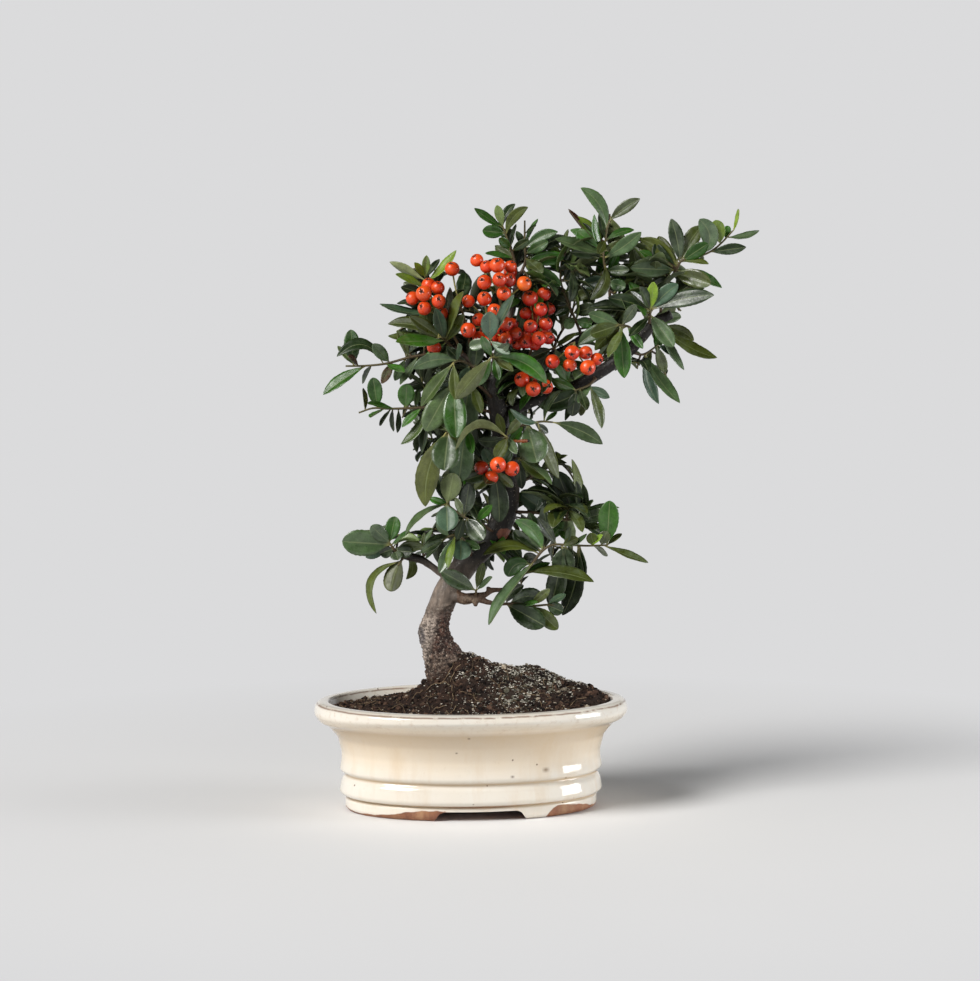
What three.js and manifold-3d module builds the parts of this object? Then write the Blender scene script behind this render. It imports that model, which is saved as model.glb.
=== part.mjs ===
// A firethorn bonsai in berry, in a glazed oval pot. Millimetres, +Z up, the pot's long side along X.
// The origin is the middle of the whole, pot and tree, seen from above, on the surface that it stands on.
import * as THREE from 'three';
import Module from 'manifold-3d';

const wasm = await Module();
wasm.setup();
const { Manifold, Mesh: SolidMesh } = wasm;

// Driving dimensions
const POT_LENGTH = 181;
const POT_WIDTH = 128;
const POT_HEIGHT = 62.8;
const LIP_WIDTH = 8.4;
const FLOOR_TOP = 11;
const FLOOR_BOTTOM = 6;
const NOTCH_WIDTH = 53;
const NOTCH_SLANT = 4;
const DRAIN_RADIUS = 6.5;
const DRAIN_OFFSET = 34;
const SCREEN_SIDE = 22;
const SCREEN_THICK = 1.2;
const SCREEN_HOLES = 3;
const SOIL_RISE = 23;
const LEAF_THICK = 1.1;
const LEAF_FOLD = 0.2;
const TWIG_RADIUS = 1.15;
const TWIG_TIP_RADIUS = 0.7;
const STALK_RADIUS = 0.65;
const GAP = 0.3;
const SLIVER = 0.004;
const OVAL_SEGMENTS = 34;

// The middle of the whole, measured from the pot's middle: all that follows is laid out from the pot's
const WHOLE_MIDDLE = [35.7, 0.4];

// The front viewpoint that the layout is read from: how far in front, how high, how far round to the left,
// how far it looks down, and the reading at the middle of the view
const VIEW_DISTANCE = 2042;
const VIEW_HEIGHT = 391;
const VIEW_ROUND = THREE.MathUtils.degToRad(7);
const VIEW_DOWN = THREE.MathUtils.degToRad(5.8);
const VIEW_MIDDLE = [10.8, 180.1];

// Seeded draws, so that every build is alike
function seeded(seed) {
  let state = seed >>> 0;
  return () => {
    state = (state + 0x6d2b79f5) >>> 0;
    let t = state;
    t = Math.imul(t ^ (t >>> 15), t | 1);
    t ^= t + Math.imul(t ^ (t >>> 7), t | 61);
    return ((t ^ (t >>> 14)) >>> 0) / 4294967296;
  };
}

// A place is [across, up, near]: across and up as seen from the front viewpoint, on an upright plane through
// the pot's middle, and near is how far the place lies in front of that plane
const viewer = new THREE.Vector3(
  -VIEW_DISTANCE * Math.sin(VIEW_ROUND),
  -VIEW_DISTANCE * Math.cos(VIEW_ROUND),
  VIEW_HEIGHT,
);
const towardViewer = new THREE.Vector3(-Math.sin(VIEW_ROUND), -Math.cos(VIEW_ROUND), 0);
const viewTurn = VIEW_ROUND + Math.atan(VIEW_MIDDLE[0] / VIEW_DISTANCE);
const viewRight = new THREE.Vector3(Math.cos(viewTurn), -Math.sin(viewTurn), 0);
const viewAhead = new THREE.Vector3(
  Math.sin(viewTurn) * Math.cos(VIEW_DOWN),
  Math.cos(viewTurn) * Math.cos(VIEW_DOWN),
  -Math.sin(VIEW_DOWN),
);
const viewUp = new THREE.Vector3().crossVectors(viewRight, viewAhead);

function place([across, up, near = 0]) {
  const ray = viewAhead.clone().multiplyScalar(VIEW_DISTANCE);
  ray.addScaledVector(viewRight, across - VIEW_MIDDLE[0]);
  ray.addScaledVector(viewUp, up - VIEW_MIDDLE[1]);
  const reach = (near - VIEW_DISTANCE) / ray.dot(towardViewer);
  return viewer.clone().addScaledVector(ray, reach);
}

// A closed solid from its points and triangles, turned to face out
function solid(points, faces) {
  let volume = 0;
  for (const [a, b, c] of faces) {
    volume += points[a].dot(new THREE.Vector3().crossVectors(points[b], points[c]));
  }
  const outward = volume > 0 ? faces : faces.map(([a, b, c]) => [a, c, b]);
  const mesh = new SolidMesh({
    numProp: 3,
    vertProperties: Float32Array.from(points.flatMap((p) => [p.x, p.y, p.z])),
    triVerts: Uint32Array.from(outward.flat()),
  });
  return Manifold.ofMesh(mesh);
}

// A skin over rings of points, each ring with as many points, closed by flat ends or by a point
function loft(rings, startPoint = null, endPoint = null) {
  const count = rings[0].length;
  const points = rings.flat();
  const faces = [];
  for (let ring = 0; ring + 1 < rings.length; ring += 1) {
    for (let i = 0; i < count; i += 1) {
      const a = ring * count + i;
      const b = ring * count + ((i + 1) % count);
      faces.push([a, b, b + count], [a, b + count, a + count]);
    }
  }
  const last = (rings.length - 1) * count;
  if (startPoint) {
    points.push(startPoint);
    for (let i = 0; i < count; i += 1) faces.push([points.length - 1, (i + 1) % count, i]);
  } else {
    for (let i = 1; i + 1 < count; i += 1) faces.push([0, i + 1, i]);
  }
  if (endPoint) {
    points.push(endPoint);
    for (let i = 0; i < count; i += 1) {
      faces.push([last + i, last + ((i + 1) % count), points.length - 1]);
    }
  } else {
    for (let i = 1; i + 1 < count; i += 1) faces.push([last, last + i, last + i + 1]);
  }
  return solid(points, faces);
}

// A round stem along points, with a radius at each and a slightly uneven girth
function stem(points, radii, sides, uneven = 0, draw = null) {
  const rings = [];
  let side = new THREE.Vector3(1, 0.3, 0.2);
  for (let i = 0; i < points.length; i += 1) {
    const before = points[Math.max(i - 1, 0)];
    const after = points[Math.min(i + 1, points.length - 1)];
    const along = after.clone().sub(before).normalize();
    side = side.clone().addScaledVector(along, -side.dot(along)).normalize();
    const other = new THREE.Vector3().crossVectors(along, side);
    const ring = [];
    for (let k = 0; k < sides; k += 1) {
      const turn = (2 * Math.PI * k) / sides;
      const swell = uneven ? 1 + uneven * (2 * draw() - 1) : 1;
      const out = side.clone().multiplyScalar(Math.cos(turn)).addScaledVector(other, Math.sin(turn));
      ring.push(points[i].clone().addScaledVector(out, radii[i] * swell));
    }
    rings.push(ring);
  }
  return loft(rings);
}

// A smooth path through [across, up, near, radius] places, in even steps
function smoothPath(places, steps) {
  const curve = new THREE.CatmullRomCurve3(places.map((p) => place(p)), false, 'centripetal');
  const points = [];
  const radii = [];
  for (let i = 0; i <= steps; i += 1) {
    const t = i / steps;
    const at = t * (places.length - 1);
    const from = Math.min(Math.floor(at), places.length - 2);
    points.push(curve.getPoint(t));
    radii.push(THREE.MathUtils.lerp(places[from][3], places[from + 1][3], at - from));
  }
  return { points, radii };
}

// The pot

// Half the pot's length at each height, from the foot up to the lip
const POT_PROFILE = [
  [69.8, 0], [71.8, 2], [71.8, 7.2], [71.0, 8.2], [73.2, 9.4], [74.7, 13.8], [73.6, 19.6], [72.0, 21.1],
  [73.5, 22.7], [73.7, 33], [75.4, 42.5], [81.9, 51], [87.4, 53.2], [90.5, 57], [90.4, 61.2], [88.8, 62.8],
];
const CAVITY_PROFILE = [[58, FLOOR_TOP], [66.5, 15], [67.6, 40], [72.5, 49], [79, 56.5], [82.1, 62.0]];
const HALF_LENGTH_LESS_HALF_WIDTH = (POT_LENGTH - POT_WIDTH) / 2;

function oval(halfLength, height, inset = 0) {
  const ring = [];
  const a = halfLength - inset;
  const b = a - HALF_LENGTH_LESS_HALF_WIDTH;
  for (let k = 0; k < OVAL_SEGMENTS; k += 1) {
    const turn = (2 * Math.PI * k) / OVAL_SEGMENTS;
    ring.push(new THREE.Vector3(a * Math.cos(turn), b * Math.sin(turn), height));
  }
  return ring;
}

function disc(radius, low, high, x, y, sides) {
  const rings = [low, high].map((height) => {
    const ring = [];
    for (let k = 0; k < sides; k += 1) {
      const turn = (2 * Math.PI * k) / sides;
      ring.push(new THREE.Vector3(x + radius * Math.cos(turn), y + radius * Math.sin(turn), height));
    }
    return ring;
  });
  return loft(rings);
}

function block(x0, x1, y0, y1, z0, z1, spread = 0) {
  const corners = (x, z) => [
    new THREE.Vector3(x0 - x, y0, z),
    new THREE.Vector3(x1 + x, y0, z),
    new THREE.Vector3(x1 + x, y1, z),
    new THREE.Vector3(x0 - x, y1, z),
  ];
  return loft([corners(spread, z0), corners(0, z1)]);
}

function buildPot() {
  const body = loft(POT_PROFILE.map(([half, height]) => oval(half, height)));
  const lipInner = POT_LENGTH / 2 - LIP_WIDTH;
  const cavityRings = CAVITY_PROFILE.map(([half, height]) => oval(half, height));
  cavityRings.push(oval(lipInner + 1.2, POT_HEIGHT + 0.4));
  const cavity = loft(cavityRings);
  const under = loft([oval(61, -1), oval(59.5, FLOOR_BOTTOM)]);
  const notch = block(
    -NOTCH_WIDTH / 2 + NOTCH_SLANT,
    NOTCH_WIDTH / 2 - NOTCH_SLANT,
    -POT_WIDTH,
    POT_WIDTH,
    -1,
    FLOOR_BOTTOM,
    NOTCH_SLANT,
  );
  const drains = [-1, 1].map((s) => {
    return disc(DRAIN_RADIUS, -1, FLOOR_TOP + 4, s * DRAIN_OFFSET, 0, 12);
  });
  return Manifold.difference([body, cavity, under, notch, ...drains]);
}

function buildScreen(x) {
  const half = SCREEN_SIDE / 2;
  const low = FLOOR_TOP + GAP;
  let plate = block(x - half, x + half, -half, half, low, low + SCREEN_THICK);
  const pitch = SCREEN_SIDE / SCREEN_HOLES;
  for (let i = 0; i < SCREEN_HOLES; i += 1) {
    for (let j = 0; j < SCREEN_HOLES; j += 1) {
      const cx = x - half + pitch * (i + 0.5);
      const cy = -half + pitch * (j + 0.5);
      const hole = block(cx - 2.4, cx + 2.4, cy - 2.4, cy + 2.4, low - 1, low + SCREEN_THICK + 1);
      plate = plate.subtract(hole);
    }
  }
  return plate;
}

// The trunk and its main branches, as places with a radius at each
const TRUNK = [
  [-13, 52, 0, 5.5], [-13, 66, 0, 9.5], [-13.5, 76, 0, 12.8], [-15.5, 84, 0, 11.4], [-19, 92, 0, 9.6],
  [-20.8, 100, 0, 9.3], [-19.6, 107, 0, 7.4], [-16.4, 116, 0, 7.4], [-13, 124, 0, 7.2],
  [-6, 134, -1, 7.2], [3, 144.5, -2, 7.1], [12, 153, -3, 7], [18, 164, -4, 7], [21, 178, -4, 6.8],
  [21, 192, -3, 6.3], [18.5, 207, -2, 5.8], [16, 222, -1, 5.4], [13.5, 235, 0, 4.8], [14, 247, 0, 3.8],
];
const BRANCHES = [
  {
    // The thick right branch, up to its cut end
    steps: 11,
    sides: 8,
    places: [
      [16, 221, -2, 3.4], [30, 229, -4, 3.6], [46, 235, -5, 3.6], [60, 239.5, -4, 3.6], [70, 245.5, -2, 3.6],
      [80, 252, 0, 3.6], [90, 260, 1, 3.6], [98, 268.5, 2, 3.3], [105, 276, 3, 3.2], [114.3, 280.6, 4, 2.9],
    ],
  },
  {
    // The upper right branch, to the foot of the highest spray
    steps: 8,
    sides: 6,
    places: [
      [14, 243, 0, 2.6], [30, 250.5, -5, 2.1], [42, 256, -7, 1.8], [54, 262, -7, 1.6], [62, 267, -6, 1.5],
      [70, 272.5, -4, 1.5], [77, 280, -2, 1.4], [79.5, 288, 0, 1.3],
    ],
  },
  {
    // The middle leader
    steps: 7,
    sides: 6,
    places: [
      [14, 245, 0, 3.8], [15, 257, -2, 2.7], [19, 270, -3, 2.2], [23, 284, -3, 1.9], [25.5, 296, -2, 1.6],
      [27, 305, -1, 1.4],
    ],
  },
  {
    // The upper left branch
    steps: 5,
    sides: 6,
    places: [[14, 240, 0, 2.8], [4, 250, -1, 2.1], [-4, 257, 0, 1.7], [-10, 262, 2, 1.5]],
  },
  {
    // The lower left branch
    steps: 7,
    sides: 6,
    places: [
      [-10, 129, 0, 2.6], [-17, 133, 1, 2.1], [-22, 136.5, 2, 2.0], [-28, 140.5, 3, 2.3], [-35, 142.5, 4, 2.6],
      [-41, 144, 5, 2.2], [-45, 146.5, 6, 1.5],
    ],
  },
  {
    // The gnarl at the lower right with its upper arm
    steps: 9,
    sides: 7,
    places: [
      [-16, 118, 1, 3.6], [-9, 119.5, 4, 3.6], [-3, 118.3, 6, 3.3], [3, 119.5, 8, 2.6], [8.5, 121, 9, 1.6],
      [12, 123.2, 9, 1.7], [18, 123.6, 9, 1.3], [24, 126, 9, 1.3],
    ],
  },
  {
    // The gnarl's lower arm
    steps: 3,
    sides: 6,
    places: [[2, 119, 7, 2.0], [9, 116.6, 9, 1.6], [15, 115.5, 10, 1.3]],
  },
  {
    // The gnarl's downward spur and the stub above its arm
    steps: 2,
    sides: 6,
    places: [[2.5, 121, 8, 1.8], [2.6, 117, 9, 1.9], [2.4, 114, 9, 1.3]],
  },
  {
    steps: 1,
    sides: 6,
    places: [[10, 121.5, 9, 1.3], [9.7, 125.4, 9, 1.3]],
  },
  {
    // The dead stub in front of the round leaf
    steps: 3,
    sides: 5,
    places: [[19, 208, 0, 1.5], [22, 208.3, 14, 1.2], [27, 208.2, 24, 1.1], [33.5, 208.4, 27, 1.0]],
  },
];
// The peeled lip of bark on the front of the trunk
const BARK_LIP = [
  [-19.6, 105, 7.2, 0.7], [-19.2, 109, 7.2, 0.9], [-17.3, 112.2, 7.4, 1.0], [-14.5, 114, 7.2, 0.9],
  [-11, 115.3, 6.4, 0.7],
];

function buildWood(extra) {
  const draw = seeded(11);
  const trunkPath = smoothPath(TRUNK, 22);
  const parts = [stem(trunkPath.points, trunkPath.radii.map((r) => r + extra), 9, 0.07, draw)];
  for (const { steps, sides, places } of BRANCHES) {
    const path = smoothPath(places, steps);
    parts.push(stem(path.points, path.radii.map((r) => r + extra), sides, 0.08, draw));
  }
  const lip = smoothPath(BARK_LIP, 5);
  parts.push(stem(lip.points, lip.radii.map((r) => r + extra), 5));
  return Manifold.union(parts);
}

// The soil: a mound that fills the pot, lower along the wall, crumbly on top
const SOIL_PROFILE = [[57, FLOOR_TOP + 0.3], [66.1, 15.3], [67.2, 40], [71.5, 48]];
const SOIL_EDGE = 76.2;
const SOIL_RINGS = [1, 0.86, 0.7, 0.54, 0.38, 0.22];

function soilHeight(x, y, wall) {
  const mound = Math.exp(-((x + 4) ** 2) / (2 * 27 ** 2) - (y ** 2) / (2 * 19 ** 2));
  const shoulder = Math.exp(-((x - 38) ** 2) / (2 * 20 ** 2) - ((y - 8) ** 2) / (2 * 14 ** 2));
  const dip = y > 0 && x < 0 ? 2 * Math.min(1, y / 30) * Math.min(1, -x / 30) * wall : 0;
  const bank = 56.6 + 4 * (1 - wall ** 4) - dip;
  return bank + SOIL_RISE * mound + 7 * shoulder;
}

function buildSoil(woodRoom) {
  const draw = seeded(23);
  const rings = SOIL_PROFILE.map(([half, height]) => oval(half, height));
  for (const share of SOIL_RINGS) {
    const ring = oval(SOIL_EDGE, 0).map((point) => {
      const x = point.x * share;
      const y = point.y * share;
      const lump = share > 0.95 ? 0.5 : 1.1;
      return new THREE.Vector3(x, y, soilHeight(x, y, share) + lump * (2 * draw() - 1));
    });
    rings.push(ring);
  }
  const crown = new THREE.Vector3(0, 0, soilHeight(0, 0, 0));
  const body = loft(rings, null, crown);
  const screenRooms = [-1, 1].map((s) => {
    const half = SCREEN_SIDE / 2 + GAP;
    const x = s * DRAIN_OFFSET;
    return block(x - half, x + half, -half, half, FLOOR_TOP - 1, FLOOR_TOP + SCREEN_THICK + 2 * GAP);
  });
  return largest(Manifold.difference([body, woodRoom, ...screenRooms]));
}

function largest(shape) {
  const bodies = shape.decompose();
  return bodies.reduce((best, body) => (body.volume() > best.volume() ? body : best));
}

// Bunches of berries: a stalk's places from the wood, then each berry as [across, up, near, radius]
const BUNCHES = [
  {
    name: 'berries_left_crown',
    stalk: [[-5, 258.6, 2.5], [-13.5, 275, 13], [-23, 289, 14]],
    berries: [
      [-27, 292.4, 20, 4.5], [-24.1, 297.2, 12, 4.2], [-18.9, 295.6, 15, 4], [-33.4, 289.6, 14, 4],
      [-18.4, 288, 22, 4], [-26.6, 284, 20, 4], [-17.1, 281, 15, 4],
      [-21.1, 261.6, 14, 4.1],
    ],
  },
  {
    name: 'berries_crown_single',
    stalk: [[1, 253.5, 1], [-3, 275, 4], [-8, 292, 6]],
    berries: [[-10.8, 306.4, 6, 4.3]],
  },
  {
    name: 'berries_middle_top',
    stalk: [[20, 274, 0], [17, 286, 10], [14, 297, 14]],
    berries: [
      [3.3, 311.3, 12, 3.8], [8.9, 307.6, 18, 3.8], [14.9, 308.4, 22, 4.5], [22.4, 307.6, 14, 3.7],
      [7.6, 298.8, 22, 4.2], [16.2, 300.4, 28, 4.1], [21.8, 300, 20, 4], [18.6, 292.4, 24, 4],
      [30.2, 298, 20, 4.3],
    ],
  },
  {
    name: 'berries_middle_low',
    stalk: [[17, 264, 0], [12, 272, 10], [9, 279, 16]],
    berries: [
      [-1.5, 288, 20, 3.7], [7.6, 289.4, 22, 4.2], [13.4, 282.4, 26, 4.2], [19.8, 275, 22, 4.2],
      [-1.6, 271.5, 26, 4.4], [4.6, 267, 20, 3.9], [4.2, 277.6, 18, 3.8], [11.4, 266.6, 22, 3.8],
      [19.4, 266, 24, 3.9], [25.6, 269.6, 18, 3.8],
    ],
  },
  {
    name: 'berries_middle_right',
    stalk: [[30, 251, -5], [35, 262, 4], [36, 273, 8]],
    berries: [
      [33.6, 289.6, 14, 4.6], [41.6, 292, 8, 4], [31.2, 281, 10, 3.6], [39.6, 283.4, 14, 4.1],
      [42.6, 275.2, 12, 4], [33.9, 273.6, 18, 4], [31.4, 264.8, 16, 4], [38.6, 266.6, 20, 4.2],
      [44, 267, 12, 3.7],
    ],
  },
  {
    name: 'berries_right',
    stalk: [[52, 260, -6], [56, 263, 4], [59, 264.5, 10]],
    berries: [
      [57.6, 258.6, 22, 4.3], [56.2, 251.6, 14, 3.9], [65.4, 258.6, 16, 4], [66.6, 250.2, 22, 4.4],
      [71.8, 255, 14, 3.7], [46.4, 253.6, 18, 4.1],
    ],
  },
  {
    name: 'berries_right_low',
    stalk: [[30, 232, -2], [34, 236, 6], [36, 241, 9]],
    berries: [[29, 243.4, 16, 4.4], [35.4, 238, 22, 4.4], [42.6, 239.2, 14, 4.2], [36.5, 246, 10, 4]],
  },
  {
    name: 'berries_trunk_front',
    stalk: [[19, 204, 2], [16, 203, 14], [15, 201, 22]],
    berries: [
      [15.4, 194.8, 30, 4.6], [23.3, 192.5, 26, 4.4], [6, 193, 20, 4.2], [11.5, 187.5, 22, 4],
    ],
  },
];

// A berry on its stalk: a slender three-sided stalk that opens into the round fruit, whose far end is a
// rim round a sunken pit
function berry(hub, centre, radius, facing) {
  const side = new THREE.Vector3(0.31, 0.87, 0.2);
  side.addScaledVector(facing, -side.dot(facing)).normalize();
  const other = new THREE.Vector3().crossVectors(facing, side);
  const ring = (middle, out, sides) => {
    const points = [];
    for (let k = 0; k < sides; k += 1) {
      const turn = (2 * Math.PI * k) / sides;
      const point = middle.clone().addScaledVector(side, out * Math.cos(turn));
      points.push(point.addScaledVector(other, out * Math.sin(turn)));
    }
    return points;
  };
  const along = (share) => centre.clone().addScaledVector(facing, share * radius);
  const foot = along(-0.95);
  const points = [...ring(hub, STALK_RADIUS, 3), ...ring(foot, STALK_RADIUS, 3)];
  const faces = [[0, 2, 1]];
  for (let i = 0; i < 3; i += 1) {
    const j = (i + 1) % 3;
    faces.push([i, j, 3 + j], [i, 3 + j, 3 + i]);
  }
  for (const [out, share] of [[0.76, -0.62], [0.99, 0.1], [0.44, 0.9]]) {
    points.push(...ring(along(share), out * radius, 6));
  }
  for (let i = 0; i < 3; i += 1) {
    const near = 3 + i;
    const next = 3 + ((i + 1) % 3);
    const far = 6 + 2 * i;
    const farthest = 6 + ((2 * i + 2) % 6);
    faces.push([near, far + 1, far], [near, next, far + 1], [next, farthest, far + 1]);
  }
  for (let ringStart = 6; ringStart < 18; ringStart += 6) {
    for (let i = 0; i < 6; i += 1) {
      const j = (i + 1) % 6;
      faces.push([ringStart + i, ringStart + j, ringStart + 6 + j]);
      faces.push([ringStart + i, ringStart + 6 + j, ringStart + 6 + i]);
    }
  }
  points.push(along(0.68));
  for (let i = 0; i < 6; i += 1) faces.push([18 + i, 18 + ((i + 1) % 6), 24]);
  return solid(points, faces);
}

// Each berry faces away from its bunch's stalk, turned a little up and toward the front, and its own stalk
// leaves the bunch's at a place of its own
function buildBunch(bunch, seed) {
  const draw = seeded(seed);
  const path = bunch.stalk.map((p) => place(p));
  const last = path.length - 1;
  const parts = [stem(path, path.map(() => 0.9), 4)];
  bunch.berries.forEach(([across, up, near, radius], index) => {
    const centre = place([across, up, near]);
    const back = (0.9 * index) / bunch.berries.length;
    const hub = path[last].clone().lerp(path[last - 1], back);
    const facing = centre.clone().sub(hub).normalize();
    facing.addScaledVector(towardViewer, 0.35 + 0.5 * draw());
    facing.z += 0.3 * draw();
    facing.normalize();
    parts.push(berry(hub, centre, radius, facing));
  });
  return { parts };
}

// Leafy sprays: a twig's places from the wood, then each leaf as
// [base across, base up, tip across, tip up, seen width, near of the tip from the base, bow].
// A width below zero shows the underside. The bow is to the left of the way from base to tip.
const SPRAYS = [
  {
    name: 'spray_left_upper',
    twig: [[-10, 262, 2], [-24, 258, 7], [-35, 256, 9], [-48.5, 252.4, 10], [-60, 251.2, 10], [-71.5, 251, 10]],
    leaves: [
      [-60, 250, -84.3, 234.7, 4.5, 4, 4], [-67, 252, -68.5, 271.8, 8.4, -3], [-50, 253, -76.5, 256.4, 6, 4, -9],
      [-46.6, 254, -56, 263.7, 6.5, 9], [-66, 252, -76, 262.5, 4, -8], [-64, 251.3, -70, 257, 3, 12],
      [-44, 251.8, -51, 241, 5, 9], [-37, 254, -43.5, 242.7, 5, -8], [-35.7, 256, -42.3, 271.4, 3.5, 4, 4],
      [-48.5, 251.8, -38, 247.5, 4, 14], [-30, 257, -40.5, 240.5, 4, 10], [-57, 251, -62, 241, 5, -12],
    ],
  },
  {
    name: 'spray_left_second',
    twig: [[15, 224, 0], [0, 227, 5], [-18, 228, 8], [-35, 227, 9], [-47, 226.7, 9], [-56, 227, 9], [-64, 224.4, 9]],
    leaves: [
      [-53.3, 227.5, -55.8, 244.5, 8, 2], [-60.3, 226.4, -61.5, 238.6, 2.5, -6], [-43.5, 227.5, -59, 230, 3, 12],
      [-37.5, 227.6, -36.6, 241, 9, 7], [-45, 226, -44.2, 213.7, 3, -6], [-46, 226, -52.1, 217, 3, 6],
      [-41.2, 226, -42, 213, 3.5, 3], [-28, 226, -39.4, 216.2, 4, 5], [-26, 226, -40, 206.5, 5, 4, 2],
      [-24, 226, -28, 201.5, 5, 2], [-50, 227, -58, 222, 3, 14], [-32, 227, -30, 238, 4, -10],
    ],
  },
  {
    name: 'spray_left_crown',
    twig: [[-12.5, 264.5, 2], [-20, 279, 1], [-25, 291, 0], [-26, 302, 0]],
    leaves: [
      [-26, 300, -46.4, 310.4, -5, -4, -2], [-26, 296, -43, 303.5, 4, 8], [-26.3, 301, -25.4, 314.2, 4.5, 3],
      [-25, 301, -18, 312, 3.5, -8], [-26.2, 301.6, -32.3, 310, 4, 8], [-24.7, 299, -8.5, 317, 4.5, 2, -1.5],
      [-24, 293, -15, 305, 4, -5], [-25, 291, -38.5, 298.5, 6, -8], [-24, 288, -42.3, 286.7, 3, -4],
      [-21, 281, -52, 286.5, 4, -3, 2],
    ],
  },
  {
    name: 'spray_left_heart',
    twig: [[-10.5, 261.9, 3.6], [-14, 264.8, 9], [-17, 267.6, 13]],
    leaves: [
      [-15, 266, -35, 279.5, 7, 9], [-15, 266, -20, 284, 7, 12], [-14.6, 265.8, -4.5, 293.5, 5, 10],
      [-14, 265, -4, 280.7, 6, 14], [-14, 265, -8, 285.3, 5, -2], [-15, 265.6, -42.8, 264.8, 7, 10],
      [-16.8, 267.4, -47.3, 275, 5, -8], [-14, 265, -28, 252, 5, 3], [-13, 264, -18, 250, 5, 12],
    ],
  },
  {
    name: 'spray_front_high_left',
    twig: [[9, 243.5, 3], [2, 250, 16], [-6, 254, 27], [-10, 253, 32]],
    leaves: [
      [-7, 254, -33, 249.5, 6, 3, -3], [-10, 253, -9, 231.8, 6, 4], [-10, 252.8, -28.5, 228, 4.5, -6],
      [-6, 254, -14, 262, 5, 10], [-8, 254, -7, 264, 3, 12], [2, 250, 4, 265, 8, 8], [-1, 251, -6, 240, 6, 8],
    ],
  },
  {
    name: 'spray_front_high_right',
    twig: [[16, 255, 0], [14, 256, 16], [11.5, 256, 32]],
    leaves: [
      [11.5, 256, -9, 232, -5.5, 14], [12, 255.8, 43, 241, 9, 4, 5], [11.5, 255.8, 2, 240, 8, -4],
      [12, 256, 6, 268, 5, 6], [12, 256, 22, 264, 5, 10], [13, 256, 16, 243, 5, 6], [13, 256, 24, 248, 5, 14],
    ],
  },
  {
    name: 'spray_front_middle',
    twig: [[12, 233, 3], [4, 240, 16], [-4, 242, 24], [-11, 241, 28]],
    leaves: [
      [-11, 241, -26, 214, 11, 5], [-10, 240, -8.5, 210, 9, 8], [-1, 240, -6, 211, 9, -4], [-8, 241, -24, 236, 5, 8],
      [0, 240, 6, 224, 6, 6], [-9, 241, -20, 249, 5, -10],
    ],
  },
  {
    name: 'spray_front_pale',
    twig: [[13, 216, 3], [3, 216, 18], [-8, 214.5, 30], [-14, 213, 34]],
    leaves: [
      [-13, 213, -15.5, 191.5, 15, 9], [-3, 214, -7, 185, 9.5, 2], [-14, 213, -26, 171, -11, 4, -5],
      [-10, 213, -20, 203, 6, -8], [-12, 213.4, -24, 222, 5, -6], [-2, 214, 1, 201, 5, 12],
    ],
  },
  {
    name: 'spray_front_arch',
    twig: [[17, 211, 3], [20, 211, 14], [21, 210, 24]],
    leaves: [
      [20.8, 210, -9, 203, -4, 18, -10], [20.6, 210, 14, 198.5, 7, -2], [20, 210.4, 26, 201, 5, 2],
      [20, 211, 29, 222, 5, 5], [19, 211, 15, 224, 5, 6],
    ],
  },
  {
    name: 'spray_front_low',
    twig: [[12, 157, 3], [4, 162, 16], [-4, 165, 25], [-14, 172.6, 30]],
    leaves: [
      [-14, 172.5, -13.5, 157, 12, 8], [-14, 172.6, -37.5, 155, 3.5, 2, -3], [-13.5, 172.6, -10, 190, -8, -3],
      [-4, 165, -1, 184, 6, -2], [-5, 165.4, -9, 176, 4, 6], [-3, 165, 7, 152, 10, 8], [-12, 171, -24, 176, 4, -8],
      [-4, 165, -8, 152, 5, -6], [3, 163, 12, 172, 5, 9],
    ],
  },
  {
    name: 'spray_front_dark',
    twig: [[18, 194, 3], [13, 191, 12]],
    leaves: [
      [13, 191, 16, 162, 11, 1, 1], [13, 191, 2, 181, 6, 1], [13.4, 191, 7, 204, 6, -4], [14, 191, 24, 182, 5, 4],
      [14, 191, 23, 203, 6, -3],
    ],
  },
  {
    name: 'spray_low_middle',
    twig: [[0, 143, 4], [-3, 150, 13], [-6.5, 154, 19], [-11, 154.6, 21.5], [-16, 152, 21]],
    leaves: [
      [-5, 153.5, -6, 140.5, 11, 9], [-9, 154.5, -18, 133, 7, 5], [-9, 154.6, -13, 136, 4, 12],
      [-7, 154.4, -26, 150.5, 3, 8, -1.5], [-15, 152.3, -29, 144.5, 5, 0], [-15, 152.4, -26, 141.5, 3, -8],
      [-12, 153.6, -20, 161, 4, 4], [-4, 152, 5, 147, 5, 9], [-6, 154, -2, 164, 4, 1],
    ],
  },
  {
    name: 'spray_left_low',
    twig: [[-42, 144.5, 6], [-45, 148, 8], [-46.5, 150.5, 8]],
    leaves: [
      [-46, 149, -73.5, 151, 15, 5], [-46, 150, -57, 160, 8, 3], [-46.5, 150.5, -43.2, 165.3, 8, -2],
      [-44.5, 147.5, -29.5, 151.5, 4, 4, 4], [-44, 147, -30, 147, 5, -3], [-46, 149, -60, 142, 3, 10],
      [-46, 150.4, -50, 160, 6, -9], [-46, 149, -35, 157, 3.5, 12], [-46, 149.6, -62, 157, 5, -12],
    ],
  },
  {
    name: 'spray_left_low_under',
    twig: [[-37, 143.2, 5], [-39.5, 140.6, 10], [-41.6, 137.4, 13]],
    leaves: [
      [-41.4, 138, -54, 110, 3.5, 0, -8], [-41.6, 137.4, -45.5, 122.5, -11, 6], [-40, 140, -37, 129.5, 5, -8],
    ],
  },
  {
    name: 'spray_left_low_twiglet',
    twig: [[-27, 143, 3], [-28, 147, 4]],
    leaves: [[-28, 146.6, -26.5, 156, 3, 2], [-28, 146, -22, 158, 4, -6], [-28, 146, -34, 138, 4, -9]],
  },
  {
    name: 'spray_gnarl',
    twig: [[2.6, 120.4, 11.5], [3, 123.6, 14]],
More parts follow.
